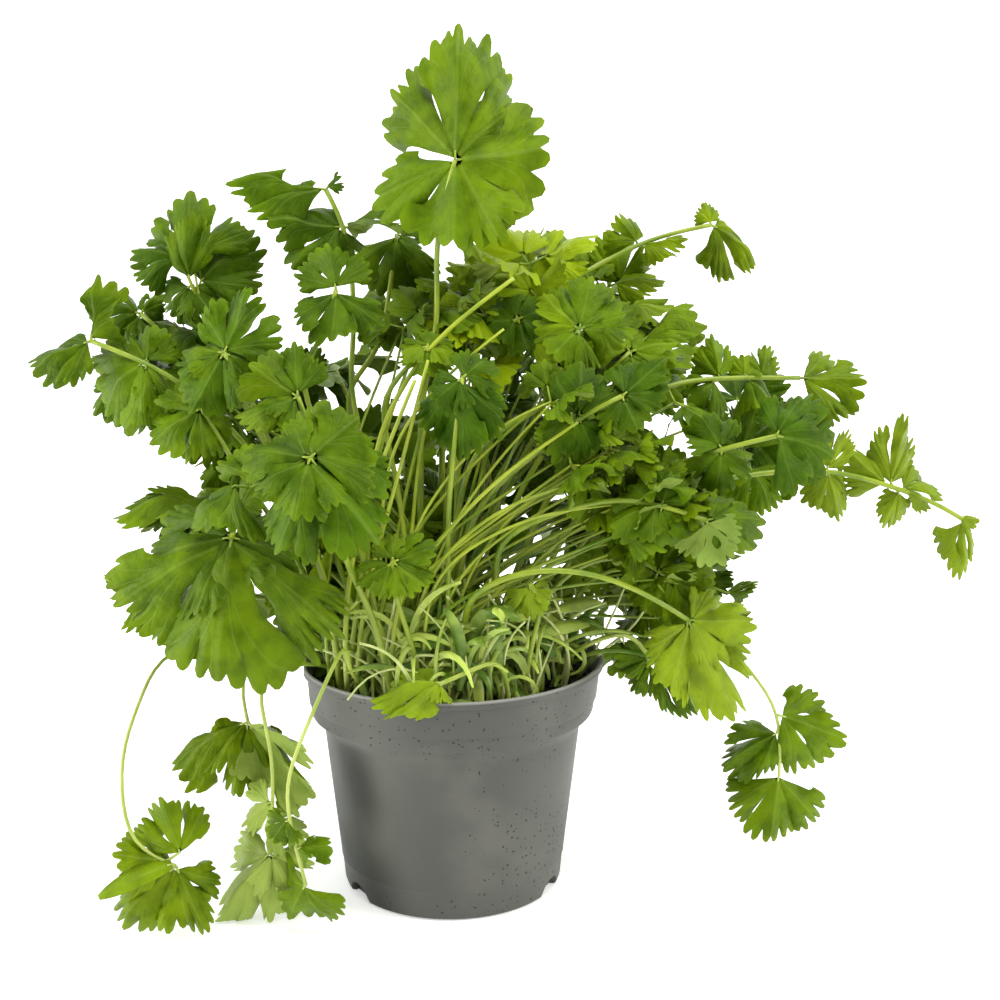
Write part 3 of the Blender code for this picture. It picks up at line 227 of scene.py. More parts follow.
# The stems and leaflets that the window shows, front ones first
SPRIGS = [
    Sprig("stem_hero_top", (-12, -8), [
        seen(422, 400, -12), seen(436, 329, -16), seen(436, 237, -20), seen(455, 160, -20),
    ], [
        Leaf((455, 153), (458, 27), 40, VIEWER, 4),
        Leaf((456, 156), (552, 146), 48, VIEWER, -2),
        Leaf((455, 158), (452, 252), 38, VIEWER, -8),
    ], 3.2),
    Sprig("stem_front_left", (-38, -30), [
        seen(318, 560, -46), seen(282, 492, -54), seen(255, 474, -58), seen(243, 494, -60),
        seen(232, 537, -60),
    ], [
        Leaf((231, 539), (130, 555), 36, BOTH, -4),
        Leaf((232, 539), (302, 560), 24, BOTH, 2),
        Leaf((231, 541), (206, 674), 76, BOTH, -22),
        Leaf((250, 480), (246, 438), 20, BOTH, 6),
        Leaf((226, 486), (190, 518), 30, LEFTWARD, -6, -4),
    ], 3.0),
    Sprig("stem_front_mid", (-22, -38), [
        seen(350, 570, -48), seen(325, 500, -58), seen(310, 458, -62),
    ], [
        Leaf((308, 452), (352, 412), 30, BOTH, 6),
        Leaf((308, 452), (238, 440), 24, BOTH, 4),
        Leaf((310, 455), (380, 535), 38, BOTH, -8),
        Leaf((306, 456), (288, 514), 26, BOTH, -12),
        Leaf((312, 462), (258, 545), 24, BOTH, 6, 10),
    ], 3.0),
    Sprig("stem_arching_right", (8, -34), [
        seen(466, 600, -46), seen(510, 575, -52), seen(553, 569, -54), seen(600, 575, -54),
        seen(650, 596, -50), seen(688, 620, -46),
    ], [
        Leaf((689, 621), (757, 622), 24, BOTH, 4),
        Leaf((689, 622), (738, 722), 34, BOTH, -6),
        Leaf((688, 622), (677, 702), 22, BOTH, -2),
    ]),
    Sprig("stem_hero_side", (-14, -26), [
        seen(381, 400, -26), seen(409, 367, -28), seen(428, 347, -30),
    ], [
        Leaf((428, 348), (400, 346), 15, SKY, -3),
        Leaf((428, 348), (457, 350), 15, SKY, -3),
        Leaf((428, 348), (427, 374), 16, BOTH, -6),
        Leaf((428, 348), (430, 330), 13, SKY, 6),
    ], 2.4),
    Sprig("stem_upper_left_tall", (-24, 2), [
        seen(350, 383, 4), seen(354, 339, 6), seen(351, 262, 8), seen(340, 215, 8), seen(326, 190, 8),
    ], [
        Leaf((322, 181), (235, 158), 17, SKY, -4),
        Leaf((324, 186), (335, 168), 7, SKY, 0),
        Leaf((347, 226), (262, 222), 24, BOTH, -6),
        Leaf((346, 226), (338, 258), 16, BOTH, -4),
        Leaf((350, 228), (402, 190), 20, UPRIGHT, 4),
    ], 2.6),
    Sprig("stem_upper_left_mid", (-18, 10), [
        seen(345, 398, 14), seen(378, 352, 20), seen(388, 300, 24), seen(397, 234, 26),
    ], [
        Leaf((397, 231), (389, 291), 28, BOTH, -8),
        Leaf((388, 301), (388, 350), 27, BOTH, -6),
        Leaf((397, 231), (425, 246), 14, BOTH, 0),
        Leaf((388, 298), (352, 330), 20, BOTH, 6),
    ], 2.6),
    Sprig("stem_upper_left_low", (-32, -8), [
        seen(301, 382, -16), seen(323, 337, -17), seen(336, 290, -18),
    ], [
        Leaf((337, 286), (328, 239), 20, BOTH, 4),
        Leaf((337, 290), (334, 346), 24, BOTH, -8),
    ], 2.6),
    Sprig("stem_left_top", (-36, 8), [seen(262, 440, 4), seen(218, 345, 8), seen(192, 285, 10)], [
        Leaf((190, 246), (186, 192), 30, BOTH, 3),
        Leaf((175, 250), (132, 243), 17, BOTH, -2),
        Leaf((186, 270), (180, 220), 15, VIEWER, -8, -4),
        Leaf((204, 274), (250, 228), 26, BOTH, 4, 4),
        Leaf((190, 283), (158, 305), 15, BOTH, -4),
        Leaf((192, 284), (214, 317), 17, BOTH, -4),
    ], 2.8),
    Sprig("stem_left_inner", (-30, -18), [
        seen(282, 470, -26), seen(245, 385, -32), seen(224, 353, -34),
    ], [
        Leaf((224, 351), (252, 286), 24, BOTH, 4),
        Leaf((223, 352), (188, 408), 30, VIEWER, -6),
        Leaf((225, 354), (262, 362), 17, BOTH, -2),
        Leaf((222, 350), (178, 342), 16, BOTH, 2),
    ], 2.6),
    Sprig("stem_left_frill", (-24, -26), [seen(325, 470, -36), seen(298, 397, -38)], [
        Leaf((297, 395), (246, 362), 26, BOTH, 2),
        Leaf((297, 396), (262, 410), 19, BOTH, -6),
        Leaf((297, 395), (292, 342), 18, BOTH, 4),
    ], 2.4),
    Sprig("stem_left_low", (-42, -12), [
        seen(262, 505, -28), seen(228, 453, -32), seen(202, 408, -32),
    ], [
        Leaf((202, 407), (146, 434), 25, BOTH, -6),
        Leaf((202, 409), (205, 452), 15, BOTH, -5),
    ], 2.4),
    Sprig("stem_far_left", (-45, 2), [
        seen(250, 450, -12), seen(190, 390, -16), seen(144, 362, -18), seen(91, 341, -16),
    ], [
        Leaf((89, 340), (21, 360), 18, BOTH, -5),
        Leaf((90, 340), (91, 277), 8, LEFTWARD, 3),
        Leaf((144, 362), (88, 402), 34, BOTH, -5),
        Leaf((147, 362), (150, 322), 16, BOTH, 5),
        Leaf((146, 364), (142, 410), 15, BOTH, -9),
    ], 2.6),
    Sprig("stem_far_left_small", (-42, 16), [
        seen(240, 430, 20), seen(180, 350, 30), seen(141, 314, 32),
    ], [
        Leaf((140, 313), (95, 296), 18, BOTH, -3),
        Leaf((142, 312), (157, 288), 9, BOTH, 2),
        Leaf((142, 315), (124, 330), 11, BOTH, -3),
    ], 2.2),
    Sprig("stem_front_frill", (-8, -42), [seen(395, 600, -52), seen(393, 562, -54)], [
        Leaf((393, 562), (436, 545), 17, BOTH, -2),
        Leaf((393, 562), (425, 586), 16, BOTH, -6),
        Leaf((392, 563), (352, 586), 15, BOTH, -4),
        Leaf((393, 560), (392, 533), 13, BOTH, 3),
    ], 2.2),
    Sprig("stem_trailing_front", (-30, -40), [
        over_rim(-34, 8), seen(346, 640, -62), seen(314, 710, -66), seen(288, 775, -66),
        seen(289, 820, -64), seen(306, 885, -62),
    ], [
        Leaf((289, 818), (268, 842), 14, BOTH, -2),
        Leaf((296, 848), (330, 842), 13, SKY, -4),
        Leaf((306, 884), (284, 926), 22, BOTH, 4),
    ], 2.2),
    Sprig("stem_trailing_inner", (-42, -26), [
        over_rim(-58, 7), seen(258, 680, -50), seen(273, 760, -50), seen(270, 852, -50),
    ], [
        Leaf((268, 854), (205, 928), 25, BOTH, -4),
        Leaf((269, 854), (298, 902), 20, BOTH, -4),
        Leaf((270, 820), (308, 836), 18, BOTH, 6),
        Leaf((270, 800), (238, 826), 18, BOTH, 4),
    ], 2.2),
    Sprig("stem_trailing_middle", (-46, -14), [
        over_rim(-72, 8), seen(240, 668, -30), seen(248, 722, -32),
    ], [
        Leaf((248, 722), (164, 752), 24, SKY, -6),
        Leaf((248, 724), (322, 800), 26, AWAY, -8),
        Leaf((248, 726), (235, 800), 20, BOTH, -4),
    ], 2.2),
    Sprig("stem_trailing_outer", (-47, 0), [
        over_rim(-88, 10), seen(172, 650, -30), seen(140, 702, -44), seen(121, 760, -52),
        seen(131, 842, -58), seen(176, 866, -60),
    ], [
        Leaf((176, 867), (108, 926), 26, BOTH, -8),
        Leaf((176, 867), (203, 932), 18, BOTH, -6),
        Leaf((187, 848), (160, 798), 20, BOTH, 4),
        Leaf((168, 858), (112, 852), 22, BOTH, -4),
        Leaf((172, 864), (94, 890), 6, SKY, -2, -5),
    ], 1.8),
    Sprig("stem_canopy_crest", (-10, 6), [seen(447, 330, 20), seen(514, 278, 26)], [
        Leaf((514, 280), (445, 262), 34, BOTH, -4),
        Leaf((508, 284), (478, 342), 24, BOTH, -8),
        Leaf((516, 276), (517, 237), 15, VIEWER, 4),
        Leaf((518, 280), (546, 224), 11, LEFTWARD, 2),
    ], 3.4),
    Sprig("stem_canopy_dark", (-6, -4), [seen(463, 362, -4), seen(504, 329, -6), seen(518, 319, -6)], [
        Leaf((518, 318), (505, 290), 18, BOTH, 4),
        Leaf((518, 318), (549, 306), 17, BOTH, 2),
        Leaf((518, 319), (528, 352), 18, BOTH, -5),
        Leaf((517, 319), (486, 322), 15, BOTH, -3),
    ], 3.0),
    Sprig("stem_canopy_fan", (-2, -12), [
        seen(480, 445, -16), seen(551, 402, -20), seen(579, 330, -22),
    ], [
        Leaf((579, 325), (592, 270), 22, BOTH, 4),
        Leaf((580, 326), (550, 352), 18, BOTH, -6),
        Leaf((580, 325), (545, 290), 17, BOTH, 3),
        Leaf((582, 323), (638, 292), 16, BOTH, 6, 3),
    ], 2.8),
    Sprig("stem_canopy_big", (6, 2), [seen(560, 430, 10), seen(610, 372, 12), seen(630, 352, 12)], [
        Leaf((630, 351), (606, 322), 19, SKY, 4),
        Leaf((631, 351), (678, 334), 23, BOTH, 2),
        Leaf((631, 352), (642, 388), 20, BOTH, -8),
        Leaf((650, 334), (688, 290), 8, LEFTWARD, 4, 6),
    ], 2.8),
    Sprig("stem_canopy_blue", (2, -22), [
        seen(480, 504, -28), seen(540, 450, -36), seen(579, 418, -40), seen(622, 396, -42),
    ], [
        Leaf((622, 395), (664, 360), 20, BOTH, 4),
        Leaf((579, 418), (582, 358), 22, BOTH, 6),
        Leaf((579, 419), (596, 452), 19, BOTH, -5),
        Leaf((622, 397), (640, 432), 18, BOTH, -5),
        Leaf((579, 418), (540, 440), 17, BOTH, -6),
    ], 2.8),
    Sprig("stem_right_long", (14, -2), [
        seen(600, 430, 6), seen(669, 385, 12), seen(735, 378, 16), seen(800, 378, 18),
    ], [
        Leaf((803, 378), (869, 376), 27, BOTH, -4),
        Leaf((719, 380), (714, 334), 15, BOTH, 4),
        Leaf((744, 379), (746, 352), 10, BOTH, 2),
        Leaf((760, 378), (770, 343), 11, VIEWER, 2),
        Leaf((745, 380), (779, 402), 15, BOTH, -4),
        Leaf((716, 381), (690, 402), 15, BOTH, -6),
    ], 2.8),
    Sprig("stem_right_dark", (12, -14), [
        seen(640, 480, -28), seen(720, 450, -40), seen(776, 436, -46),
    ], [
        Leaf((776, 435), (840, 446), 34, BOTH, -4),
        Leaf((776, 434), (800, 392), 18, BOTH, 4),
        Leaf((722, 449), (700, 412), 19, BOTH, 4),
        Leaf((722, 450), (718, 492), 18, BOTH, -6),
    ], 2.6),
    Sprig("stem_right_far", (20, -6), [
        seen(600, 500, -8), seen(735, 477, -12), seen(822, 470, -14), seen(893, 487, -14),
        seen(942, 506, -14), seen(962, 519, -14),
    ], [
        Leaf((962, 519), (966, 577), 13, BOTH, -3),
        Leaf((959, 517), (978, 519), 6, SKY, 0),
        Leaf((900, 490), (947, 478), 16, BOTH, 3),
        Leaf((900, 491), (881, 526), 9, BOTH, -3),
        Leaf((890, 486), (908, 411), 14, VIEWER, 4),
        Leaf((888, 484), (854, 448), 15, BOTH, 2),
        Leaf((828, 471), (842, 519), 13, BOTH, -4),
        Leaf((826, 470), (850, 426), 9, BOTH, 3),
    ], 2.4),
    Sprig("stem_top_right", (4, 14), [
        seen(505, 335, 26), seen(564, 285, 34), seen(600, 264, 38), seen(638, 244, 40),
        seen(676, 232, 42), seen(711, 225, 42),
    ], [
        Leaf((638, 243), (617, 210), 15, BOTH, 2),
        Leaf((640, 243), (684, 240), 9, SKY, -3),
        Leaf((711, 225), (768, 252), 17, BOTH, -5),
        Leaf((711, 225), (705, 200), 8, BOTH, 2),
    ], 2.2),
    Sprig("stem_canopy_round", (-4, -34), [
        seen(448, 520, -42), seen(455, 440, -46), seen(462, 378, -46),
    ], [
        Leaf((462, 380), (463, 456), 25, BOTH, -8),
        Leaf((462, 376), (490, 352), 16, BOTH, 3),
        Leaf((461, 378), (432, 400), 15, BOTH, -5),
    ], 2.2),
    Sprig("stem_canopy_low", (10, -26), [
        seen(500, 540, -38), seen(600, 500, -48), seen(660, 505, -52), seen(706, 520, -54),
    ], [
        Leaf((706, 519), (770, 512), 18, BOTH, 3),
        Leaf((660, 504), (616, 512), 16, BOTH, -6),
        Leaf((662, 505), (655, 545), 20, BOTH, -6),
        Leaf((706, 521), (728, 562), 20, AWAY, -5),
        Leaf((662, 503), (676, 466), 17, BOTH, 4),
    ], 2.6),
    Sprig("stem_canopy_right_low", (24, -18), [
        seen(590, 560, -22), seen(650, 560, -26), seen(672, 582, -28),
    ], [
        Leaf((672, 582), (722, 602), 22, BOTH, -4),
        Leaf((673, 580), (712, 560), 16, BOTH, 3),
        Leaf((735, 596), (763, 577), 7, BOTH, 2, 3),
        Leaf((668, 578), (640, 612), 18, BOTH, -6),
    ], 2.4),
    Sprig("stem_hanging_right", (36, -12), [
        over_rim(66, 14), seen(632, 632, -12), seen(652, 662, -12),
    ], [
        Leaf((652, 664), (632, 694), 15, BOTH, -3),
        Leaf((655, 668), (708, 712), 17, BOTH, -4),
        Leaf((650, 660), (616, 652), 13, BOTH, -2),
    ], 2.0),
    Sprig("stem_trailing_right", (34, 6), [
        over_rim(96, 20), seen(700, 620, 6), seen(757, 680, 0), seen(779, 714, -4), seen(779, 776, -6),
    ], [
        Leaf((780, 715), (848, 736), 26, BOTH, -4),
        Leaf((778, 732), (717, 764), 19, BOTH, -2),
        Leaf((779, 774), (770, 848), 32, BOTH, -6),
    ], 2.0),
    Sprig("stem_rim_leaf", (16, -44), [seen(500, 655, -50), seen(462, 676, -56), seen(440, 684, -57)], [
        Leaf((444, 683), (367, 682), 15, SKY, -2),
        Leaf((444, 684), (430, 700), 10, SKY, -4),
    ], 1.8),
    Sprig("stem_mouth_leaf", (22, -38), [seen(545, 600, -46), seen(530, 584, -47)], [
        Leaf((530, 583), (530, 621), 13, VIEWER, -2),
        Leaf((531, 583), (546, 597), 8, VIEWER, 0),
    ], 1.8),
]

# Leafy stems that the window hides or shows little of: their turn from the front, lean and length
WILD_SEED = 11
WILD_SPRIGS = 9
WILD_TURNS = (72.0, 286.0)
WILD_HEIGHTS = (150.0, 255.0)
WILD_REACHES = (44.0, 106.0)
WILD_LEAFLET = (24.0, 30.0)

# Seedlings that still carry their first two leaves, long and narrow
SEEDLING_SEED = 5
SEEDLINGS = 4
SEEDLING_HEIGHTS = (22.0, 44.0)
SEEDLING_STRAP = (24.0, 32.0)
SEEDLING_WIDE = 4.5
# How a stem may give way to its neighbours: sideways in depth, to another planting place, or by its bow
SLIDES = (0.0, 4.0, -4.0, 8.0, -8.0, 13.0, -13.0, 18.0, -18.0, 24.0, -24.0)
BOWS = (0.0, 10.0, -10.0, 20.0, -20.0)
NEAR_PLACES = 5
PLACE_COST = 3.5
BOW_COST = 0.6
GOLDEN_SHARE = 0.618
TRIALS = sorted(
    ((slide, rank, bow) for slide in SLIDES for rank in range(NEAR_PLACES) for bow in BOWS),
    key=lambda trial: abs(trial[0]) + PLACE_COST * trial[1] + BOW_COST * abs(trial[2]),
)
WILD_TRIES = 60
CLEARANCE = 0.35

# A leaflet's outline as a fan from its foot: three lobes with teeth, by share of the fan's half turn
FAN_TURN = math.radians(54.0)
SINUS = 0.37
SINUS_DEPTH = 0.25
SINUS_WIDE = 0.055
FULLNESS = 1.15
TEETH_GRAND = (
    (0.99, 1.0), (0.85, 0.86), (0.7, 1.06), (0.5, 1.0), (0.37, 1.0), (0.26, 1.02), (0.13, 0.9),
    (0.0, 1.04),
)
TEETH_LARGE = ((0.97, 1.0), (0.68, 1.04), (0.37, 1.0), (0.18, 1.02), (0.0, 1.04))
TEETH_SMALL = ((0.88, 1.02), (0.37, 1.0), (0.14, 1.02))
STRAP_SIDE = ((0.5, 0.4), (0.36, 0.85), (0.0, 1.0))
STRAP_SHARE = 0.36
LARGE_LEAFLET = 27.0
GRAND_LEAFLET = 60.0
BLADE_THICKNESS = 0.7
DROOP_SIDE = 0.28
DROOP_TIP = 0.14
RIB_FOLD = 0.045
EDGE_WAVE = 0.05
COLLAR = 6.0


def planting_places():
    """Evenly spread places on the soil, as seeds lie in a flower head."""
    places = []
    for count in range(PLANTING_PLACES):
        reach = SOIL_REACH * math.sqrt((count + 0.5) / PLANTING_PLACES)
        turn = count * GOLDEN_TURN
        places.append(Vector((reach * math.cos(turn), reach * math.sin(turn), SOIL_HEIGHT)))
    return places


def bent(stations, step=STEM_STEP):
    """A smooth line through the stations, with a corner every step or so."""
    line = [stations[0]]
    last = len(stations) - 1
    for index in range(last):
        before = stations[max(index - 1, 0)]
        start = stations[index]
        end = stations[index + 1]
        after = stations[min(index + 2, last)]
        pieces = max(1, round((end - start).length / step))
        for count in range(1, pieces + 1):
            t = count / pieces
            line.append(0.5 * (
                2.0 * start + (end - before) * t
                + (2.0 * before - 5.0 * start + 4.0 * end - after) * t ** 2
                + (3.0 * start - before - 3.0 * end + after) * t ** 3
            ))
    return line


def main_stem(plan, place, slide, bow):
    """The stem from its buried foot to its last joint."""
    up = Vector((0.0, 0.0, 1.0))
    share = slide / len(plan.route)
    route = [slid(point, share * (index + 1)) for index, point in enumerate(plan.route)]
    gap = route[0] - place
    middle = place + gap * 0.5 + up * (ARCH * gap.length)
    middle += gap.cross(up).normalized() * bow
    lean = ((middle - place).normalized() + up).normalized()
    collar = place + lean * COLLAR
    line = [place - lean * ROOT_DEPTH, place] + bent([collar, middle] + route)
    lengths = [0.0]
    for start, end in zip(line, line[1:]):
        lengths.append(lengths[-1] + (end - start).length)
    thick = plan.girth * 0.5
    radii = [thick + (STEM_TIP - thick) * along / lengths[-1] for along in lengths]
    return Tube(line, radii)


def nearest_on(line, across, down):
    """The stretch of the line, and the point on it, that the window shows nearest to a place."""
    target = Vector((across, down))
    best = None
    for index in range(2, len(line) - 1):
        start = in_window(line[index])
        span = in_window(line[index + 1]) - start
        share = min(max((target - start).dot(span) / max(span.length_squared, 1e-6), 0.0), 1.0)
        miss = (start + span * share - target).length
        if best is None or miss < best[0] - 0.01:
            best = (miss, index, line[index].lerp(line[index + 1], share))
    return best[1], best[2]


def blade_at(start, run, foot, tip, wide, face, number):
    """A leaflet, on a stalk that leaves the stem at start along its run."""
    axis = (tip - foot).normalized()
    normal = (face - axis * face.dot(axis)).normalized()
    reach = (foot - start).length
    if reach < STALK_SHORT:
        foot = start + axis * STALK_SHORT
        stalk = [start - axis * 0.3]
    elif reach < 12.0:
        stalk = [start]
    else:
        stalk = [start, (start + foot) * 0.5 + (run * 0.5 - axis * 0.5) * (reach * 0.24)]
    return Blade(stalk, foot, axis, normal, max((tip - foot).length, 4.0), wide * FULLNESS, number)


def leaf_blade(line, leaf, number):
    """A leaflet that the window shows, on the stem's line."""
    index, on_stem = nearest_on(line, *leaf.joint)
    foot = seen(*leaf.joint, on_stem.y + leaf.near)
    tip = seen(*leaf.tip, foot.y + leaf.lean)
    gap = (foot - on_stem).length
    start = on_stem
    if gap > STALK_SHORT:
        back = min(0.5 * gap, (on_stem - line[2]).length, (on_stem - line[index]).length)
        start = on_stem + (line[index] - on_stem).normalized() * back
    run = (line[index + 1] - line[index]).normalized()
    return blade_at(start, run, foot, tip, leaf.wide, leaf.face, number)


def sprig_limbs(plan, number, place, slide, bow):
    """The stem and blades of one leafy stem that the window shows."""
    stem = main_stem(plan, place, slide, bow)
    blades = [
        leaf_blade(stem.points, leaf, number * 10 + count) for count, leaf in enumerate(plan.leaves)
    ]
    return stem, blades


def tooth_row(blade):
    """The outline of one half of the blade, from its foot to its tip, as shares of width and length."""
    if blade.wide < STRAP_SHARE * blade.length:
        return STRAP_SIDE
    teeth = TEETH_LARGE if blade.length > LARGE_LEAFLET else TEETH_SMALL
    if blade.wide > GRAND_LEAFLET:
        teeth = TEETH_GRAND
    return [fan_point(share, swell) for share, swell in teeth]


def fan_point(share, swell=1.0):
    notch = SINUS_DEPTH * math.exp(-((share - SINUS) / SINUS_WIDE) ** 2)
    reach = swell * (1.0 - 0.5 * share ** 2.4) * (1.0 - notch)
    turn = share * FAN_TURN
    return reach * math.sin(turn), reach * math.cos(turn)


def relief(blade, side, along):
    """How far the blade stands off its plane: it cups, droops to its tip, folds along its ribs and waves."""
    far = math.hypot(side, along)
    share = math.atan2(side, along) / FAN_TURN
    droop = -DROOP_SIDE * side ** 2 - DROOP_TIP * along ** 2
    fold = RIB_FOLD * far * math.cos(math.pi * share / SINUS)
    wave = EDGE_WAVE * far * math.sin(3.1 * share + 1.7 * blade.number)
    return (droop + fold + wave) * blade.length


def above_floor(point):
    return Vector((point.x, point.y, max(point.z, FLOOR_CLEARANCE + BLADE_THICKNESS)))


def on_blade(blade, side, along):
    """A point of the blade's middle sheet, kept above the floor."""
    across = blade.axis.cross(blade.normal)
    point = blade.foot + blade.axis * (along * blade.length) + across * (side * blade.wide)
    return above_floor(point + blade.normal * relief(blade, side, along))


def blade_sheet(blade):
    """The stalk as a narrow strip and the blade as a folded fan, as corners and triangles."""
    corners = []
    stations = blade.stalk + [blade.foot]
    for index, station in enumerate(stations):
        run = stations[min(index + 1, len(stations) - 1)] - stations[max(index - 1, 0)]
        across = run.cross(blade.normal).normalized() * STALK_HALF
        corners += [above_floor(station - across), above_floor(station + across)]
    triangles = []
    for index in range(0, 2 * len(stations) - 2, 2):
        triangles += [(index, index + 1, index + 2), (index + 1, index + 3, index + 2)]
    left = 2 * len(stations) - 2
    right = left + 1
    row = tooth_row(blade)
    sides = [[], []]
    for half, sign in enumerate((-1.0, 1.0)):
        for side, along in row:
            if side < 1e-6 and half == 1:
                sides[1].append(sides[0][-1])
            else:
                sides[half].append(len(corners))
                corners.append(on_blade(blade, sign * side, along))
    for start, end in zip(sides[0], sides[0][1:]):
        triangles.append((left, end, start))
    for start, end in zip(sides[1], sides[1][1:]):
        triangles.append((right, start, end))
    if sides[0][-1] != sides[1][-1]:
        triangles.append((left, sides[1][-1], sides[0][-1]))
    triangles.append((left, right, sides[1][-1]))
    return corners, triangles


def tube_shadow(tube, grow, first=0):
    """A four-sided hull round a tube, for testing what it would cross."""
    points = []
    faces = []
    line = tube.points[first:]
    radii = tube.radii[first:]
    for index, point in enumerate(line):
        run = line[min(index + 1, len(line) - 1)] - line[max(index - 1, 0)]
        across = run.orthogonal().normalized()
        other = run.cross(across).normalized()
        wide = (radii[index] + grow) * 1.3
        points += [point + across * wide, point + other * wide]
        points += [point - across * wide, point - other * wide]
    for index in range(len(line) - 1):
        for side in range(4):
            turn = (side + 1) % 4
            corner = index * 4
            faces.append((corner + side, corner + turn, corner + 4 + turn, corner + 4 + side))
    return points, faces


def blade_shadow(blade, grow):
    """The two sides of a blade, a little apart, for testing what it would cross."""
    corners, triangles = blade_sheet(blade)
    lift = blade.normal * (BLADE_THICKNESS * 0.5 + grow)
    count = len(corners)
    points = [corner + lift for corner in corners] + [corner - lift for corner in corners]
    faces = triangles + [tuple(corner + count for corner in triangle) for triangle in triangles]
    return points, faces


def shadow(limbs, grow, first=0):
    stem, blades = limbs
    points = []
    faces = []
    shadows = [tube_shadow(stem, grow, first)] + [blade_shadow(blade, grow) for blade in blades]
    for part_points, part_faces in shadows:
        start = len(points)
        points += part_points
        faces += [tuple(corner + start for corner in face) for face in part_faces]
    return points, faces


class Bed:
    """What already stands: the pot and soil, and each leafy stem, as surfaces that a new one has to miss."""

    def __init__(self):
        self.vessel = BVHTree.FromPolygons(*vessel_surface())
        self.free = planting_places()
        self.points = []
        self.faces = []
        self.owners = []
        self.tree = None
        self.homes = {}

    def crossed(self, limbs):
        """The names of the stems that these limbs would cross, and whether they would cross the pot."""
        names = set()
        if self.tree is not None:
            tree = BVHTree.FromPolygons(*shadow(limbs, CLEARANCE))
            names = {self.owners[theirs] for theirs, ours in self.tree.overlap(tree)}
        above = BVHTree.FromPolygons(*shadow(limbs, CLEARANCE, 3))
        return names, bool(self.vessel.overlap(above))

    def plant(self, name, limbs, place, joined):
        """Takes the limbs in: as a stem of their own, or as part of the one that they cross."""
        home = self.homes.get(joined, joined) or name
        self.homes[name] = home
        points, faces = shadow(limbs, 0.0)
        start = len(self.points)
        self.points += points
        self.faces += [tuple(corner + start for corner in face) for face in faces]
        self.owners += [home] * len(faces)
        self.tree = BVHTree.FromPolygons(self.points, self.faces)
        self.free.remove(place)
        return home


def best_limbs(bed, plan, number):
    """The first trial that crosses nothing, or else the one that crosses the fewest stems."""
    ideal = Vector((plan.root[0], plan.root[1], SOIL_HEIGHT))
    places = sorted(bed.free, key=lambda place: (place - ideal).length)
    best = None
    for slide, rank, bow in TRIALS:
        limbs = sprig_limbs(plan, number, places[rank], slide, bow)
        names, in_vessel = bed.crossed(limbs)
        cost = len(names) + (100 if in_vessel else 0)
        if best is None or cost < best[0]:
            best = (cost, limbs, places[rank], names)
        if cost == 0:
            break
    return best[1:]


def wild_limbs(rng, count, number, bed):
    """A leafy stem on the sides that the window shows little of: a leaf of three leaflets over a pair."""
    share = (count * GOLDEN_SHARE + rng.uniform(-0.04, 0.04)) % 1.0
    turn = math.radians(WILD_TURNS[0] + (WILD_TURNS[1] - WILD_TURNS[0]) * share)
    out = Vector((math.sin(turn), -math.cos(turn), 0.0))
    side = Vector((math.cos(turn), math.sin(turn), 0.0))
    up = Vector((0.0, 0.0, 1.0))
    reach = rng.uniform(*WILD_REACHES)
    top = out * reach + up * (rng.uniform(*WILD_HEIGHTS) - 0.35 * reach)
    knee = top * 0.78 + up * (0.26 * SOIL_HEIGHT)
    ideal = out * (0.3 * reach) + up * SOIL_HEIGHT
    place = min(bed.free, key=lambda free: (free - ideal).length)
    plan = Sprig("", (0, 0), [knee, top], [], rng.uniform(2.0, 2.8))
    stem = main_stem(plan, place, 0.0, rng.uniform(-8.0, 8.0))
    line = stem.points
    blades = []
    for spot, turns in ((len(line) - 1, (0.0, 80.0, -80.0)), (len(line) - 2, (62.0, -62.0))):
        for swing in turns:
            swing = math.radians(swing + rng.uniform(-10.0, 10.0))
            axis = out * math.cos(swing) + side * math.sin(swing) + up * rng.uniform(-0.25, 0.35)
            axis.normalize()
            foot = line[spot] + axis * (rng.uniform(7.0, 11.0) if spot < len(line) - 1 else STALK_SHORT)
            size = rng.uniform(*WILD_LEAFLET)
            wide = size * rng.uniform(0.85, 1.05)
            face = up + out * rng.uniform(0.1, 0.5) + side * rng.uniform(-0.3, 0.3)
            run = (line[spot] - line[spot - 1]).normalized()
            tip = foot + axis * size
            blades.append(blade_at(line[spot], run, foot, tip, wide, face, number * 10 + len(blades)))
    return (stem, blades), place


def seedling_limbs(rng, count, number, bed):
    """A seedling by the pot's mouth: a thin stem and its first two leaves."""
    turn = math.radians(rng.uniform(-80.0, 80.0))
    reach = rng.uniform(18.0, 46.0)
    ideal = Vector((math.sin(turn) * reach, -math.cos(turn) * reach, SOIL_HEIGHT))
    place = min(bed.free, key=lambda free: (free - ideal).length)
    up = Vector((0.0, 0.0, 1.0))
    lean = Vector((rng.uniform(-0.5, 0.5), rng.uniform(-0.5, 0.3), 1.0)).normalized()
    top = place + lean * rng.uniform(*SEEDLING_HEIGHTS)
    plan = Sprig("", (0, 0), [top], [], 1.8)
    stem = main_stem(plan, place, 0.0, 0.0)
    blades = []
    swing = rng.uniform(0.0, math.tau)
    for half in (0.0, math.pi):
        level = Vector((math.cos(swing + half), math.sin(swing + half), 0.0))
        axis = (level + up * rng.uniform(0.0, 0.7)).normalized()
        tip = top + axis * rng.uniform(*SEEDLING_STRAP)
        face = up - level * 0.3
        blades.append(blade_at(top, lean, top, tip, SEEDLING_WIDE, face, number * 10 + len(blades)))
    return (stem, blades), place


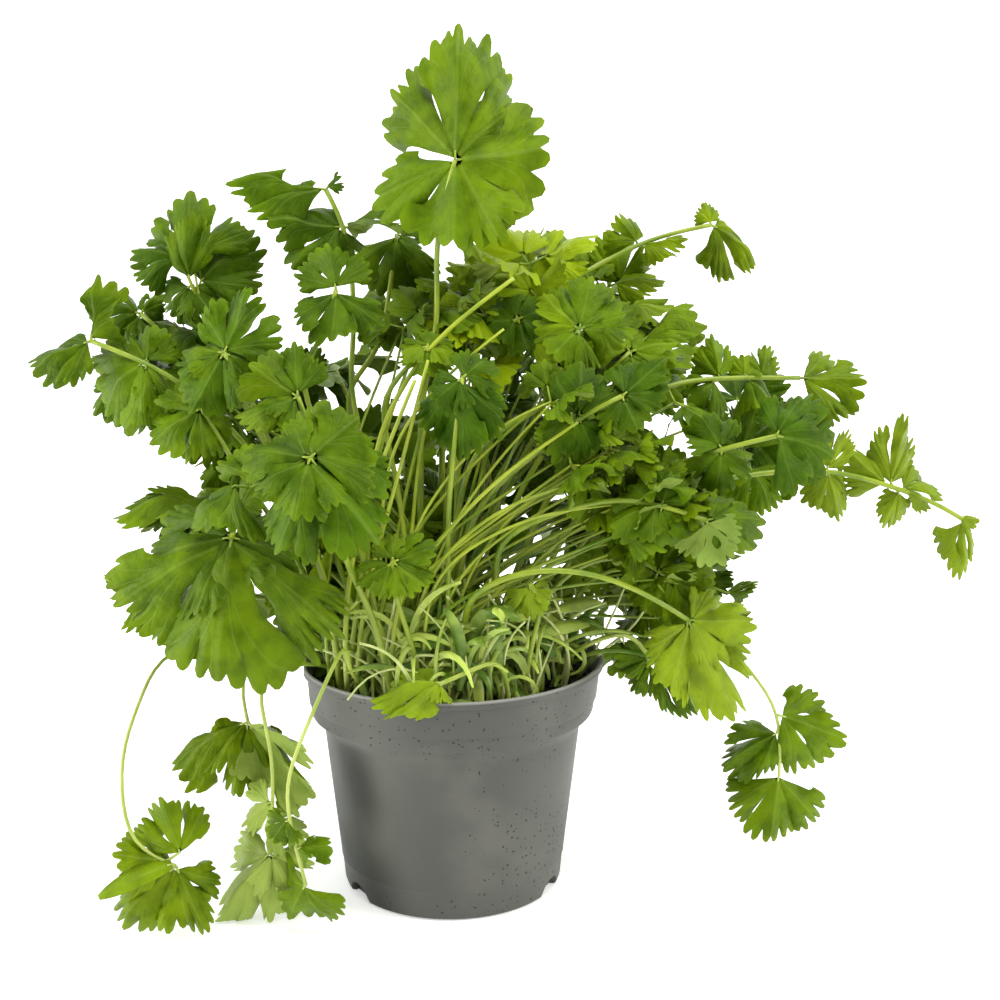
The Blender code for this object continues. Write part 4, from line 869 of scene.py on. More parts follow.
def grow_all(bed):
    """Every leafy stem, by the name of the node it belongs to."""
    grown = {}
    for number, plan in enumerate(SPRIGS):
        limbs, place, names = best_limbs(bed, plan, number)
        home = bed.plant(plan.name, limbs, place, min(names) if names else None)
        grown.setdefault(home, []).append(limbs)
    number = len(SPRIGS)
    for kind, amount, seed, grower in (
        ("stem_wild", WILD_SPRIGS, WILD_SEED, wild_limbs),
        ("seedling", SEEDLINGS, SEEDLING_SEED, seedling_limbs),
    ):
        rng = random.Random(seed)
        for count in range(amount):
            for _ in range(WILD_TRIES):
                limbs, place = grower(rng, count, number, bed)
                names, in_vessel = bed.crossed(limbs)
                if not names and not in_vessel:
                    name = f"{kind}_{count + 1:02d}"
                    bed.plant(name, limbs, place, None)
                    grown[name] = [limbs]
                    break
            number += 1
    return grown


# Fine forms, in millimetres
LEAFLET_TURN = math.radians(82.0)
LEAFLET_SQUEEZE = 0.79
LEAF_THICKNESS = 0.3
LOBE_CENTRES = (-0.68, 0.0, 0.68)
LOBE_HALVES = (0.32, 0.36, 0.32)
LOBE_JOINED = 0.36
LOBE_HOLE_END = 0.66
TOOTH_DEPTH = 0.135
TOOTH_FROM = 0.62
TEETH_BY_SIZE = ((15.0, 4), (24.0, 5), (36.0, 6), (200.0, 7))
LEAF_GRIDS = ((24.0, (4, 7)), (36.0, (4, 9)), (200.0, (5, 11)))
FILL_NUMBER = 900
FILL_ROWS = 5
FINE_TEETH = 9
FRILLED_STEMS = ("stem_front_left", "stem_front_mid", "stem_left_top")
FINE_STEP = 5.0
STEM_SIDES = 8
STALK_SIDES = 6
STALK_RADIUS = 0.42
ROOT_REACH = 50.0
TRAILING_THIN = 0.74

# Leafy shoots that fill the plant between the others: the four corners of each clump in the
# window, the lightness and yellowness of its leaflets, and how deep it lies. The lightness is
# partly painted shade: the clumps inside the plant are darker, the one at the top lightest.
FILL_SEED = 23
FILL_SHOOTS = 78
FILL_LEAFLETS = (3, 5)
FILL_SIZES = (14.0, 23.0)
FILL_CLUMPS = (
    (((430, 258), (545, 250), (560, 320), (440, 330)), (1.0, 0.9), (4.0, 40.0)),
    (((545, 270), (650, 295), (680, 380), (545, 360)), (0.75, 0.65), (8.0, 80.0)),
    (((430, 350), (560, 350), (580, 440), (430, 450)), (0.2, 0.35), (22.0, 85.0)),
    (((560, 370), (720, 370), (780, 470), (570, 470)), (0.35, 0.35), (0.0, 80.0)),
    (((580, 470), (740, 480), (720, 590), (580, 540)), (0.4, 0.5), (0.0, 70.0)),
    (((180, 350), (300, 370), (330, 440), (200, 440)), (0.3, 0.35), (10.0, 70.0)),
    (((300, 420), (400, 430), (400, 560), (300, 540)), (0.3, 0.5), (5.0, 60.0)),
    (((420, 460), (600, 480), (590, 580), (390, 560)), (0.25, 0.4), (15.0, 70.0)),
    (((600, 560), (720, 560), (735, 640), (615, 655)), (0.35, 0.55), (4.0, 55.0)),
    (((300, 550), (420, 540), (430, 600), (310, 620)), (0.55, 0.7), (-20.0, 20.0)),
    (((90, 320), (230, 320), (240, 410), (130, 400)), (0.2, 0.35), (5.0, 50.0)),
)

# Bright thin stems in front: the ends of the line where each group starts and of the line where it
# ends, their number, and how deep their ends lie
BUNDLE_SEED = 14
BUNDLES = (
    ((404.0, 560.0, 500.0, 600.0), (540.0, 395.0, 690.0, 515.0), 11, (-42.0, -24.0), (-44.0, -16.0)),
    ((392.0, 600.0, 470.0, 628.0), (575.0, 470.0, 640.0, 560.0), 12, (-42.0, -24.0), (-44.0, -16.0)),
    ((330.0, 600.0, 400.0, 590.0), (400.0, 330.0, 470.0, 300.0), 5, (-40.0, -10.0), (0.0, 26.0)),
)

# Stems that stand out, by where the window shows them, their depth and their radius
STEM_ROUTES = (
    (((398, 600), (440, 540), (500, 478), (578, 422)), -46.0, 1.0),
    (((405, 560), (447, 478), (500, 425), (551, 402)), -42.0, 0.7),
    (((420, 600), (455, 545), (520, 500), (600, 480)), -44.0, 0.9),
    (((430, 590), (470, 548), (540, 515), (612, 505)), -46.0, 0.8),
    (((372, 470), (410, 375), (447, 330), (514, 278)), -30.0, 1.2),
    (((385, 480), (425, 400), (463, 362), (504, 329)), -34.0, 0.8),
    (((345, 640), (352, 560), (375, 480), (415, 380)), -42.0, 1.1),
    (((362, 620), (380, 540), (400, 470), (428, 360)), -40.0, 1.0),
)
PALE_ROUTES = (
    (((596, 655), (612, 642), (632, 632), (648, 604)), -6.0, 0.8),
    (((598, 650), (606, 625), (622, 600), (630, 572)), -8.0, 0.6),
    (((574, 655), (560, 630), (545, 612), (530, 606)), -26.0, 0.8),
    (((570, 655), (568, 625), (556, 600), (546, 584)), -22.0, 0.8),
    (((545, 664), (535, 640), (527, 625), (540, 606)), -34.0, 0.7),
    (((460, 655), (455, 628), (462, 606), (478, 590)), -40.0, 0.9),
    (((500, 660), (512, 630), (500, 604), (486, 590)), -38.0, 0.8),
)

# Pale shoots and long first leaves that tangle in the pot's mouth
TANGLE_SEED = 8
TANGLE_STEMS = 170
TANGLE_STRAPS = 340
CURL_STEPS = 10
POT_MOUTH = 55.0

# How far the lobes part: the share of the hole between them, and of the cut at the edge
PARTED_STEMS = {
    "stem_front_left": (1.0, 0.0),
    "stem_left_low": (0.7, 0.1),
    "stem_hero_top": (0.2, -0.25),
    "stem_arching_right": (0.5, 0.6),
    "stem_trailing_outer": (0.8, 0.2),
    "stem_trailing_inner": (0.4, 0.6),
    "stem_trailing_middle": (0.7, 0.3),
}
OPEN_LEAFLETS = {0: 0.93, 1: 1.1, 2: 1.28}
LONG_LEAFLETS = {0: 1.05}
PUSHED_BACK = {"stem_hero_top_fine": 9.0}
DRAWN_IN = 3.2
DRAWN_STEMS = {"stem_hero_top": 9.0}
# How light and how yellow each kind of leaflet is, and how much of its paler underside shows. The lightness is partly
# the leaves' own green and partly painted shade and light: leaflets in shade inside the plant get the darker tones,
# lit ones the lighter.
TONES = {
    "fresh": (0.42, 0.5, 0.0),
    "middle": (0.24, 0.42, 0.0),
    "shaded": (0.16, 0.5, 0.0),
    "deep": (0.13, 0.3, 0.0),
    "dark": (0.02, 0.15, 0.0),
    "lime": (0.6, 0.85, 0.1),
    "pale": (0.9, 0.7, 0.95),
    "warm": (0.45, 0.75, 0.0),
}
STEM_TONES = {
    "stem_hero_top": "fresh",
    "stem_front_left": "shaded",
    "stem_front_mid": "deep",
    "stem_arching_right": "lime",
    "stem_upper_left_tall": "deep",
    "stem_upper_left_mid": "deep",
    "stem_upper_left_low": "deep",
    "stem_left_top": "deep",
    "stem_left_inner": "deep",
    "stem_left_frill": "middle",
    "stem_left_low": "fresh",
    "stem_far_left": "middle",
    "stem_far_left_small": "deep",
    "stem_front_frill": "fresh",
    "stem_trailing_front": "fresh",
    "stem_trailing_inner": "pale",
    "stem_trailing_middle": "warm",
    "stem_trailing_outer": "warm",
    "stem_canopy_crest": "lime",
    "stem_canopy_dark": "dark",
    "stem_canopy_fan": "fresh",
    "stem_canopy_big": "fresh",
    "stem_canopy_blue": "dark",
    "stem_right_long": "fresh",
    "stem_right_dark": "dark",
    "stem_right_far": "lime",
    "stem_canopy_round": "dark",
    "stem_canopy_low": "middle",
    "stem_hanging_right": "middle",
    "stem_top_right": "warm",
    "stem_trailing_right": "fresh",
    "stem_rim_leaf": "lime",
    "stem_mouth_leaf": "lime",
}


def smooth_step(low, high, value):
    share = min(max((value - low) / (high - low), 0.0), 1.0)
    return share * share * (3.0 - 2.0 * share)


def spread(values, points, line):
    """Values that belong to the points, read off along the finer line that passes through them."""
    lengths = [0.0]
    for start, end in zip(points, points[1:]):
        lengths.append(lengths[-1] + (end - start).length)
    runs = [0.0]
    for start, end in zip(line, line[1:]):
        runs.append(runs[-1] + (end - start).length)
    found = []
    for run in runs:
        along = run / runs[-1] * lengths[-1]
        index = 0
        while index < len(lengths) - 2 and lengths[index + 1] < along:
            index += 1
        share = (along - lengths[index]) / max(lengths[index + 1] - lengths[index], 1e-6)
        found.append(values[index] + (values[index + 1] - values[index]) * min(share, 1.0))
    return found


class Piece:
    """A piece of the model in the making, with the marks that its finish reads."""

    def __init__(self, name):
        self.name = name
        self.shape = bmesh.new()
        self.pattern = self.shape.loops.layers.uv.new("pattern")
        self.tone = self.shape.loops.layers.float_color.new("tone")

    def mark(self, faces, places, tone, finish):
        """Gives the faces their finish and tone, and each corner its place in the pattern."""
        for face in faces:
            face.material_index = finish
            face.smooth = True
            for loop in face.loops:
                loop[self.pattern].uv = places[loop.vert]
                loop[self.tone] = (*tone, 1.0)

    def tube(self, points, radii, sides, tone, finish):
        """A tube drawn out ring by ring along the points."""
        run = (points[1] - points[0]).normalized()
        across = run.orthogonal().normalized()
        made = bmesh.ops.create_circle(self.shape, cap_ends=True, segments=sides, radius=1.0)["verts"]
        faces = {face for corner in made for face in corner.link_faces}
        edges = list({edge for corner in made for edge in corner.link_edges})
        offsets = [corner.co.copy() for corner in made]
        places = {}
        ring = made
        lengths = [0.0]
        for start, end in zip(points, points[1:]):
            lengths.append(lengths[-1] + (end - start).length)
        for index, point in enumerate(points):
            run = (points[min(index + 1, len(points) - 1)] - points[max(index - 1, 0)]).normalized()
            across = (across - run * across.dot(run)).normalized()
            other = run.cross(across)
            if index > 0:
                grown = bmesh.ops.extrude_edge_only(self.shape, edges=edges)["geom"]
                fresh = [item for item in grown if isinstance(item, bmesh.types.BMVert)]
                edges = [
                    item for item in grown
                    if isinstance(item, bmesh.types.BMEdge) and all(end in fresh for end in item.verts)
                ]
                faces |= {item for item in grown if isinstance(item, bmesh.types.BMFace)}
                twins = {}
                for corner in fresh:
                    for edge in corner.link_edges:
                        twin = edge.other_vert(corner)
                        if twin in order:
                            twins[corner] = order[twin]
                ring = sorted(fresh, key=lambda corner: twins[corner])
            order = {corner: side for side, corner in enumerate(ring)}
            for side, corner in enumerate(ring):
                offset = offsets[side] * radii[index]
                corner.co = (point + across * offset.x + other * offset.y) * MM
                places[corner] = (side / sides, lengths[index] / lengths[-1])
        cap = bmesh.ops.edgeloop_fill(self.shape, edges=edges)["faces"]
        faces |= set(cap)
        self.mark(faces, places, tone, finish)

    def leaflet(self, blade, tone, finish, parted=None):
        """A leaflet of three toothed lobes, spread like a fan from its foot."""
        if parted is None:
            parted = (0.6, 0.1) if chance(blade.number, 15) > 0.7 else (0.0, 0.0)
        places = {}
        faces = set()
        corners = set()
        teeth = next(count for size, count in TEETH_BY_SIZE if blade.length < size)
        teeth = FINE_TEETH if piece_is_frilled(self.name) and blade.length > 30.0 else teeth
        steps, rows = next(grid for size, grid in LEAF_GRIDS if blade.length < size)
        columns = teeth * steps
        if blade.number >= FILL_NUMBER:
            rows = FILL_ROWS
        for lobe in range(3):
            made = bmesh.ops.create_grid(self.shape, x_segments=columns, y_segments=rows, size=1.0)
            for corner in made["verts"]:
                across = corner.co.x
                reach = corner.co.y * 0.5 + 0.5
                places[corner] = (across * 0.5 + 0.5, reach)
                corner.co = leaflet_point(blade, lobe, across, reach, teeth, parted) * MM
                faces |= set(corner.link_faces)
            corners |= set(made["verts"])
        self.mark(faces, places, tone, finish)
        bmesh.ops.remove_doubles(self.shape, verts=list(corners), dist=0.02 * MM)
        faces = [face for face in faces if face.is_valid]
        rim = [edge for edge in {edge for face in faces for edge in face.edges} if edge.is_boundary]
        for edge in rim:
            edge.smooth = False
        rim_corners = {corner for edge in rim for corner in edge.verts}
        grown = bmesh.ops.duplicate(self.shape, geom=faces)
        twins = grown["vert_map"]
        under = [item for item in grown["geom"] if isinstance(item, bmesh.types.BMFace)]
        bmesh.ops.reverse_faces(self.shape, faces=under)
        tops = {corner for face in faces for corner in face.verts}
        for corner in tops - rim_corners:
            twins[corner].co = corner.co - blade.normal * (LEAF_THICKNESS * MM)
        for face in faces:
            face.normal_update()
        if sum((face.calc_area() * face.normal.dot(blade.normal) for face in faces), 0.0) < 0.0:
            under = faces
        for face in under:
            for loop in face.loops:
                loop[self.tone] = (tone[0], tone[1], max(tone[2], 0.9), 1.0)
        seam = list(rim_corners) + [twins[corner] for corner in rim_corners]
        bmesh.ops.remove_doubles(self.shape, verts=seam, dist=0.001 * MM)

    def strap(self, line, wide, tone, finish):
        """A long narrow first leaf along a line, folded along its middle."""
        places = {}
        made = bmesh.ops.create_grid(self.shape, x_segments=2, y_segments=len(line) - 1, size=1.0)["verts"]
        faces = {face for corner in made for face in corner.link_faces}
        for corner in made:
            across = corner.co.x
            share = corner.co.y * 0.5 + 0.5
            index = round(share * (len(line) - 1))
            run = (line[min(index + 1, len(line) - 1)] - line[max(index - 1, 0)]).normalized()
            level = run.cross(Vector((0.0, -1.0, 0.5))).normalized()
            rise = level.cross(run)
            swell = math.sin(math.pi * min(share * 0.86 + 0.1, 1.0)) ** 0.7
            half = max(wide * 0.5 * swell, 0.35)
            places[corner] = (across * 0.5 + 0.5, share)
            corner.co = (line[index] + level * (across * half) + rise * (0.22 * half * across ** 2)) * MM
        self.mark(faces, places, tone, finish)
        bmesh.ops.solidify(self.shape, geom=list(faces), thickness=0.35 * MM)

    def finished(self, finishes, stands_for=()):
        """The piece as an object that rides on the plant."""
        bmesh.ops.recalc_face_normals(self.shape, faces=self.shape.faces)
        mesh = bpy.data.meshes.new(self.name)
        self.shape.to_mesh(mesh)
        self.shape.free()
        for finish in finishes:
            mesh.materials.append(finish)
        made = bpy.data.objects.new(self.name, mesh)
        bpy.context.scene.collection.objects.link(made)
        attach(made, "root")
        for node in stands_for:
            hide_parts(node)
        return made


def chance(number, kind):
    """A share from 0 to 1 that stays the same for each leaflet and kind."""
    return math.sin(number * 12.9898 + kind * 78.233) * 43758.5453 % 1.0


def piece_is_frilled(name):
    return any(name.startswith(stem) for stem in FRILLED_STEMS)


def leaflet_point(blade, lobe, across, reach, teeth, parted):
    """Where a corner of the leaflet lies: across its lobe, from its foot to its toothed edge."""
    number = blade.number
    opening = 0.0
    if reach > LOBE_JOINED:
        if reach < LOBE_HOLE_END:
            middle = (reach - LOBE_JOINED) / (LOBE_HOLE_END - LOBE_JOINED)
            opening = -0.07 * parted[0] * math.sin(math.pi * middle)
        else:
            drift = 0.16 * chance(number, lobe) - 0.02 - 0.3 * parted[1]
            opening = drift * (reach - LOBE_HOLE_END) / (1.0 - LOBE_HOLE_END)
    share = LOBE_CENTRES[lobe] + LOBE_HALVES[lobe] * across
    share += math.copysign(abs(across) ** 4, across) * opening
    whole = 1.0 - (0.18 + 0.16 * chance(number, 3)) * abs(share) ** 2.4
    if lobe != 1:
        whole *= 1.0 - 0.12 * chance(number, 4 + lobe) * (1.0 - across ** 2) * reach
    bulge = 1.0 - (0.08 + 0.12 * chance(number, 7)) * abs(across) ** 3.0
    turn_of_teeth = teeth * (across + 1.0) * 0.5
    spot = Vector((0.8 * turn_of_teeth, 3.1 * lobe, 1.3 * number))
    scallop = abs(math.sin(math.pi * turn_of_teeth)) ** (0.5 + 0.4 * chance(number, 13))
    bite = TOOTH_DEPTH * (5.0 / teeth) ** 0.8 * (1.0 - scallop) * (1.0 + 1.1 * noise.noise(spot))
    folds = abs(math.sin(math.pi * (across + 1.0) * 1.5))
    notch = (0.08 if blade.length > 36.0 else 0.03) + 0.09 * chance(number, 8)
    bite += notch * (1.0 - folds ** 0.5)
    bite *= smooth_step(TOOTH_FROM, 1.0, reach)
    uneven = 1.0 + (0.05 * math.sin(2.3 * number + 5.0 * share) + 0.11 * noise.noise(spot * 0.7)) * reach
    far = reach * whole * bulge * (1.0 - bite) * uneven
    turn = share * LEAFLET_TURN * OPEN_LEAFLETS.get(number, 0.84 + 0.36 * chance(number, 14))
    side = far * math.sin(turn) * LEAFLET_SQUEEZE
    along = far * math.cos(turn)
    stand = relief(blade, side, along)
    crease = -0.09 * across ** 2 * reach * (1.0 - 0.3 * reach)
    lean = 0.42 * (chance(number, 20 + lobe) - 0.55)
    roll = 0.5 * (chance(number, 24 + lobe) - 0.5) * across
    tilt = (lean + roll) * smooth_step(LOBE_JOINED, 1.0, reach) * (0.7 if blade.length > 36.0 else 1.0)
    dome = 0.032 * folds * reach * smooth_step(0.2, 0.7, reach)
    pucker = 0.0016 * math.cos(math.tau * turn_of_teeth) * reach * smooth_step(0.5, 0.9, reach)
    bend = 0.34 if blade.length < 32.0 else 0.2
    curl = -bend * chance(number, 9) * reach ** 3 * (0.7 + 0.5 * math.sin(3.0 * share + 1.3 * number))
    tent = -0.3 * chance(number, 10) * abs(side) * (1.0 + 0.4 * reach)
    cup = 0.25 * (chance(number, 11) - 0.35) * side ** 2
    ruffle = 0.045 * reach ** 3 * math.sin(8.0 * share + 2.1 * number)
    overlap = 0.024 * (1 if lobe == 1 else -1) * across ** 2 * smooth_step(LOBE_JOINED, 1.0, reach)
    swell = 0.12 * noise.noise(Vector((side * 2.2, along * 2.2, 3.7 * number))) * smooth_step(0.0, 0.5, reach)
    crinkle = 0.03 * noise.noise(Vector((side * 7.0, along * 7.0, 2.9 * number))) * smooth_step(0.1, 0.5, reach)
    lift = crease + tilt + dome + pucker + curl + tent + cup + ruffle + overlap + swell + crinkle
    stand += lift * blade.length
    sideways = blade.axis.cross(blade.normal)
    point = blade.foot + blade.axis * (along * blade.length) + sideways * (side * blade.wide)
    return above_floor(point + blade.normal * stand)


def drawn_in(blade, most):
    """The leaflet with its foot drawn up to this much nearer to its joint, its tip kept."""
    tip = blade.foot + blade.axis * blade.length
    gap = blade.stalk[0] - blade.foot
    foot = blade.foot + gap * min(most / max(gap.length, 0.1), 0.8)
    axis = (tip - foot).normalized()
    normal = (blade.normal - axis * blade.normal.dot(axis)).normalized()
    return blade._replace(foot=foot, axis=axis, normal=normal, length=(tip - foot).length)


def eased(line, rounds=5):
    """The line with its sharp turns eased, its ends kept."""
    for _ in range(rounds):
        inner = [(before + here * 2.0 + after) * 0.25 for before, here, after in zip(line, line[1:], line[2:])]
        line = [line[0]] + inner + [line[-1]]
    return line


def add_limbs(piece, limbs, tones, rng, parted=None, drawn=DRAWN_IN):
    """The fine stem, stalks and leaflets that follow one set of limbs."""
    stem, blades = limbs
    line = bent(stem.points, FINE_STEP)
    radii = spread(stem.radii, stem.points, line)
    line = eased(line)
    back = PUSHED_BACK.get(piece.name, 0.0)
    for index, point in enumerate(line):
        point.y += back * math.sin(math.pi * smooth_step(0.6, 1.0, index / (len(line) - 1)))
    if "trailing" in piece.name:
        radii = [radius * TRAILING_THIN for radius in radii]
    piece.tube(line, radii, STEM_SIDES, (0.5, 0.5, 0.0), 1)
    for blade in blades:
        strap = blade.wide < STRAP_SHARE * blade.length
        if not strap:
            blade = drawn_in(blade, drawn)
            blade = blade._replace(length=blade.length * LONG_LEAFLETS.get(blade.number, 1.0))
        near = min(line, key=lambda point: (point - blade.stalk[0]).length)
        add_stalk(piece, [near, blade.foot, blade.foot + blade.axis * (0.06 * blade.length)])
        light = min(max(tones[0] + rng.uniform(-0.18, 0.18), 0.0), 1.0)
        yellow = min(max(tones[1] + rng.uniform(-0.16, 0.16), 0.0), 1.0)
        if strap:
            run = [blade.foot + blade.axis * (blade.length * share / 8.0) for share in range(9)]
            run = [point + blade.normal * relief(blade, 0.0, index / 8.0) for index, point in enumerate(run)]
            piece.strap(run, blade.wide, (0.75, 0.6, 0.0), 0)
        else:
            piece.leaflet(blade, (light, yellow, tones[2]), 0, parted)


def add_stalk(piece, stations):
    """A thin stalk, a little thicker where it leaves the stem."""
    stalk = bent(stations, 3.0)
    last = len(stalk) - 1
    radii = [STALK_RADIUS * (1.35 - 0.5 * index / last) for index in range(last + 1)]
    piece.tube(stalk, radii, STALK_SIDES, (0.5, 0.5, 0.0), 1)


def in_clump(rng, clump):
    """A place in the window inside a four-cornered clump."""
    across = rng.random()
    down = rng.random()
    corners = [Vector(corner) for corner in clump]
    top = corners[0].lerp(corners[1], across)
    foot = corners[3].lerp(corners[2], across)
    return top.lerp(foot, down)


def fill_shoots(finishes):
    """Thin stems with small leaflets, in clumps that thicken the plant."""
    rng = random.Random(FILL_SEED)
    up = Vector((0.0, 0.0, 1.0))
    for count in range(FILL_SHOOTS):
        clump, (light, yellow), depths = FILL_CLUMPS[count % len(FILL_CLUMPS)]
        place = in_clump(rng, clump)
        top = seen(place.x, place.y, rng.uniform(*depths))
        swing = -0.35 * top.x
        root = Vector((
            min(max(swing + rng.uniform(-16.0, 16.0), -40.0), 30.0), rng.uniform(-34.0, 24.0), SOIL_HEIGHT,
        ))
        gap = top - root
        start = (gap.normalized() + up * 0.7).normalized()
        middle = root + gap * 0.5 + up * (0.1 * gap.length) + gap.cross(up).normalized() * rng.uniform(-12.0, 12.0)
        line = eased(bent([root - start * 4.0, root + start * 12.0, middle, top], FINE_STEP), 8)
        girth = rng.uniform(0.6, 1.0)
        piece = Piece(f"shoot_{count + 1:02d}")
        radii = [girth + (0.5 - girth) * index / (len(line) - 1) for index in range(len(line))]
        piece.tube(line, radii, STALK_SIDES, (rng.uniform(0.0, 0.9), 0.5, 0.0), 1)
        shade = 0.3 * smooth_step(5.0, 70.0, top.y)
        tone = (max(light - shade + rng.uniform(-0.15, 0.15), 0.0), yellow + rng.uniform(-0.2, 0.15), 0.0)
        leafy_top(piece, line, rng.randint(*FILL_LEAFLETS), FILL_SIZES, tone, rng, FILL_NUMBER + count * 6)
        piece.finished(finishes)


def leafy_top(piece, line, amount, sizes, tone, rng, number):
    """Leaflets round the end of a stem."""
    up = Vector((0.0, 0.0, 1.0))
    run = (line[-1] - line[-2]).normalized()
    for turn in range(amount):
        swing = math.tau * (turn + rng.uniform(-0.2, 0.2)) / amount
        spot = len(line) - 1 if turn < 3 else max(len(line) - 5, 1)
        out = run.orthogonal().normalized()
        out.rotate(Matrix.Rotation(swing, 3, run))
        axis = (out + run * rng.uniform(0.1, 0.7) + up * rng.uniform(-0.3, 0.2)).normalized()
        size = rng.uniform(*sizes)
        foot = line[spot] + axis * rng.uniform(3.0, 8.0)
        face = (up + Vector((0.0, -0.7, 0.0)) + out * 0.3).normalized()
        wide = size * rng.uniform(0.95, 1.15)
        blade = blade_at(line[spot], run, foot, foot + axis * size, wide, face, number + turn)
        add_stalk(piece, blade.stalk + [blade.foot + blade.axis * (0.05 * blade.length)])
        piece.leaflet(blade, tone, 0)


def window_line(ends, share, depth):
    """A place on the line between two places in the window, given as x, y, x, y."""
    return seen(ends[0] + (ends[2] - ends[0]) * share, ends[1] + (ends[3] - ends[1]) * share, depth)


def rooted(place, lean):
    """Where a stem that shows at the place stands in the soil, this far to its left."""
    root = Vector((place.x - lean, place.y + 6.0, 0.0))
    if root.length > ROOT_REACH:
        root = root * (ROOT_REACH / root.length)
    return root + Vector((0.0, 0.0, SOIL_HEIGHT - 2.0))


def bundles(finishes):
    """The bright thin stems that cross in front of the others, out of the pot and up to the right."""
    rng = random.Random(BUNDLE_SEED)
    up = Vector((0.0, 0.0, 1.0))
    for group, (low_ends, high_ends, amount, low_depths, high_depths) in enumerate(BUNDLES):
        for count in range(amount):
            share = (count + rng.uniform(-0.4, 0.4)) / (amount - 1)
            low = window_line(low_ends, share, rng.uniform(*low_depths))
            high = window_line(high_ends, share + rng.uniform(-0.22, 0.22), rng.uniform(*high_depths))
            middle = low.lerp(high, 0.5) + up * rng.uniform(0.0, 8.0) + Vector((rng.uniform(-6.0, 5.0), 0.0, 0.0))
            line = eased(bent([rooted(low, 10.0), low, middle, high], FINE_STEP), 10)
            girth = rng.uniform(0.5, 1.15)
            radii = [girth + (0.5 - girth) * index / (len(line) - 1) for index in range(len(line))]
            piece = Piece(f"front_stem_{group + 1}_{count + 1:02d}")
            piece.tube(line, radii, STALK_SIDES, (rng.uniform(0.2, 1.0), 0.5, 0.0), 1)
            tone = (rng.uniform(0.2, 0.6), rng.uniform(0.35, 0.8), 0.0)
            leafy_top(piece, line, 3, (11.0, 17.0), tone, rng, 1300 + group * 100 + count * 4)
            piece.finished(finishes)


def standing_stems(name, routes, finishes):
    """Stems that follow routes in the window, from the soil."""
    piece = Piece(name)
    for places, depth, girth in routes:
        shown = [seen(*place, depth) for place in places]
        line = eased(bent([rooted(shown[0], 4.0)] + shown, FINE_STEP), 6)
        radii = [girth * (1.0 - 0.4 * index / (len(line) - 1)) for index in range(len(line))]
        piece.tube(line, radii, STEM_SIDES, (0.9, 0.5, 0.0), 1)
    piece.finished(finishes)


def curling(rng, root, length, launch, bend):
    """A line that leaves its root at one slope and bends over by this much on its way."""
    slope = launch
    swing = rng.uniform(0.0, math.tau)
    veer = rng.uniform(-1.1, 1.1) / CURL_STEPS
    point = root
    line = [point]
    for step in range(CURL_STEPS):
        level = Vector((math.cos(swing), 0.75 * math.sin(swing), 0.0))
        point = point + (level * math.cos(slope) + Vector((0.0, 0.0, math.sin(slope)))) * (length / CURL_STEPS)
        point.z = max(point.z, SOIL_HEIGHT + 0.8)
        line.append(point.copy())
        slope -= bend / CURL_STEPS
        swing += veer
    return eased(line, 2)


def clear_of_rim(line):
    """Whether the line passes over the pot's rim and not through it."""
    return all(point.xy.length < POT_MOUTH or point.z > POT_HEIGHT + 1.5 for point in line)


def tangle(finishes):
    """The pale, curling shoots and long first leaves that crowd the soil."""
    rng = random.Random(TANGLE_SEED)
    stems = Piece("pale_shoots")
    for count in range(TANGLE_STEMS):
        root = mouth_place(rng) - Vector((0.0, 0.0, 2.0))
        launch = math.radians(rng.uniform(50.0, 120.0))
        line = curling(rng, root, rng.uniform(24.0, 62.0), launch, math.radians(rng.uniform(0.0, 190.0)))
        girth = rng.uniform(0.4, 0.9)
        if clear_of_rim(line):
            radii = [girth * (1.0 - 0.4 * index / CURL_STEPS) for index in range(len(line))]
            stems.tube(line, radii, STALK_SIDES, (rng.uniform(0.3, 1.0), 0.5, 0.0), 1)
    stems.finished(finishes)
    straps = Piece("first_leaves")
    for count in range(TANGLE_STRAPS):
        root = mouth_place(rng) + Vector((0.0, 0.0, rng.uniform(0.0, 20.0)))
        launch = math.radians(rng.uniform(25.0, 120.0))
        line = curling(rng, root, rng.uniform(20.0, 52.0), launch, math.radians(rng.uniform(70.0, 240.0)))
        wide = rng.uniform(3.6, 5.6) if rng.random() < 0.14 else rng.uniform(1.1, 2.9)
        tone = (rng.uniform(0.0, 1.0), rng.uniform(0.45, 0.8), 0.0)
        if clear_of_rim(line):
            straps.strap(line, wide, tone, 0)
    straps.finished(finishes)


def mouth_place(rng):
    """A place on the soil, more often near the front of the pot's mouth."""
    turn = rng.triangular(-math.pi, math.pi, 0.0)
    reach = 50.0 * math.sqrt(rng.uniform(0.05, 1.0))
    return Vector((math.sin(turn) * reach, -math.cos(turn) * reach, SOIL_HEIGHT))


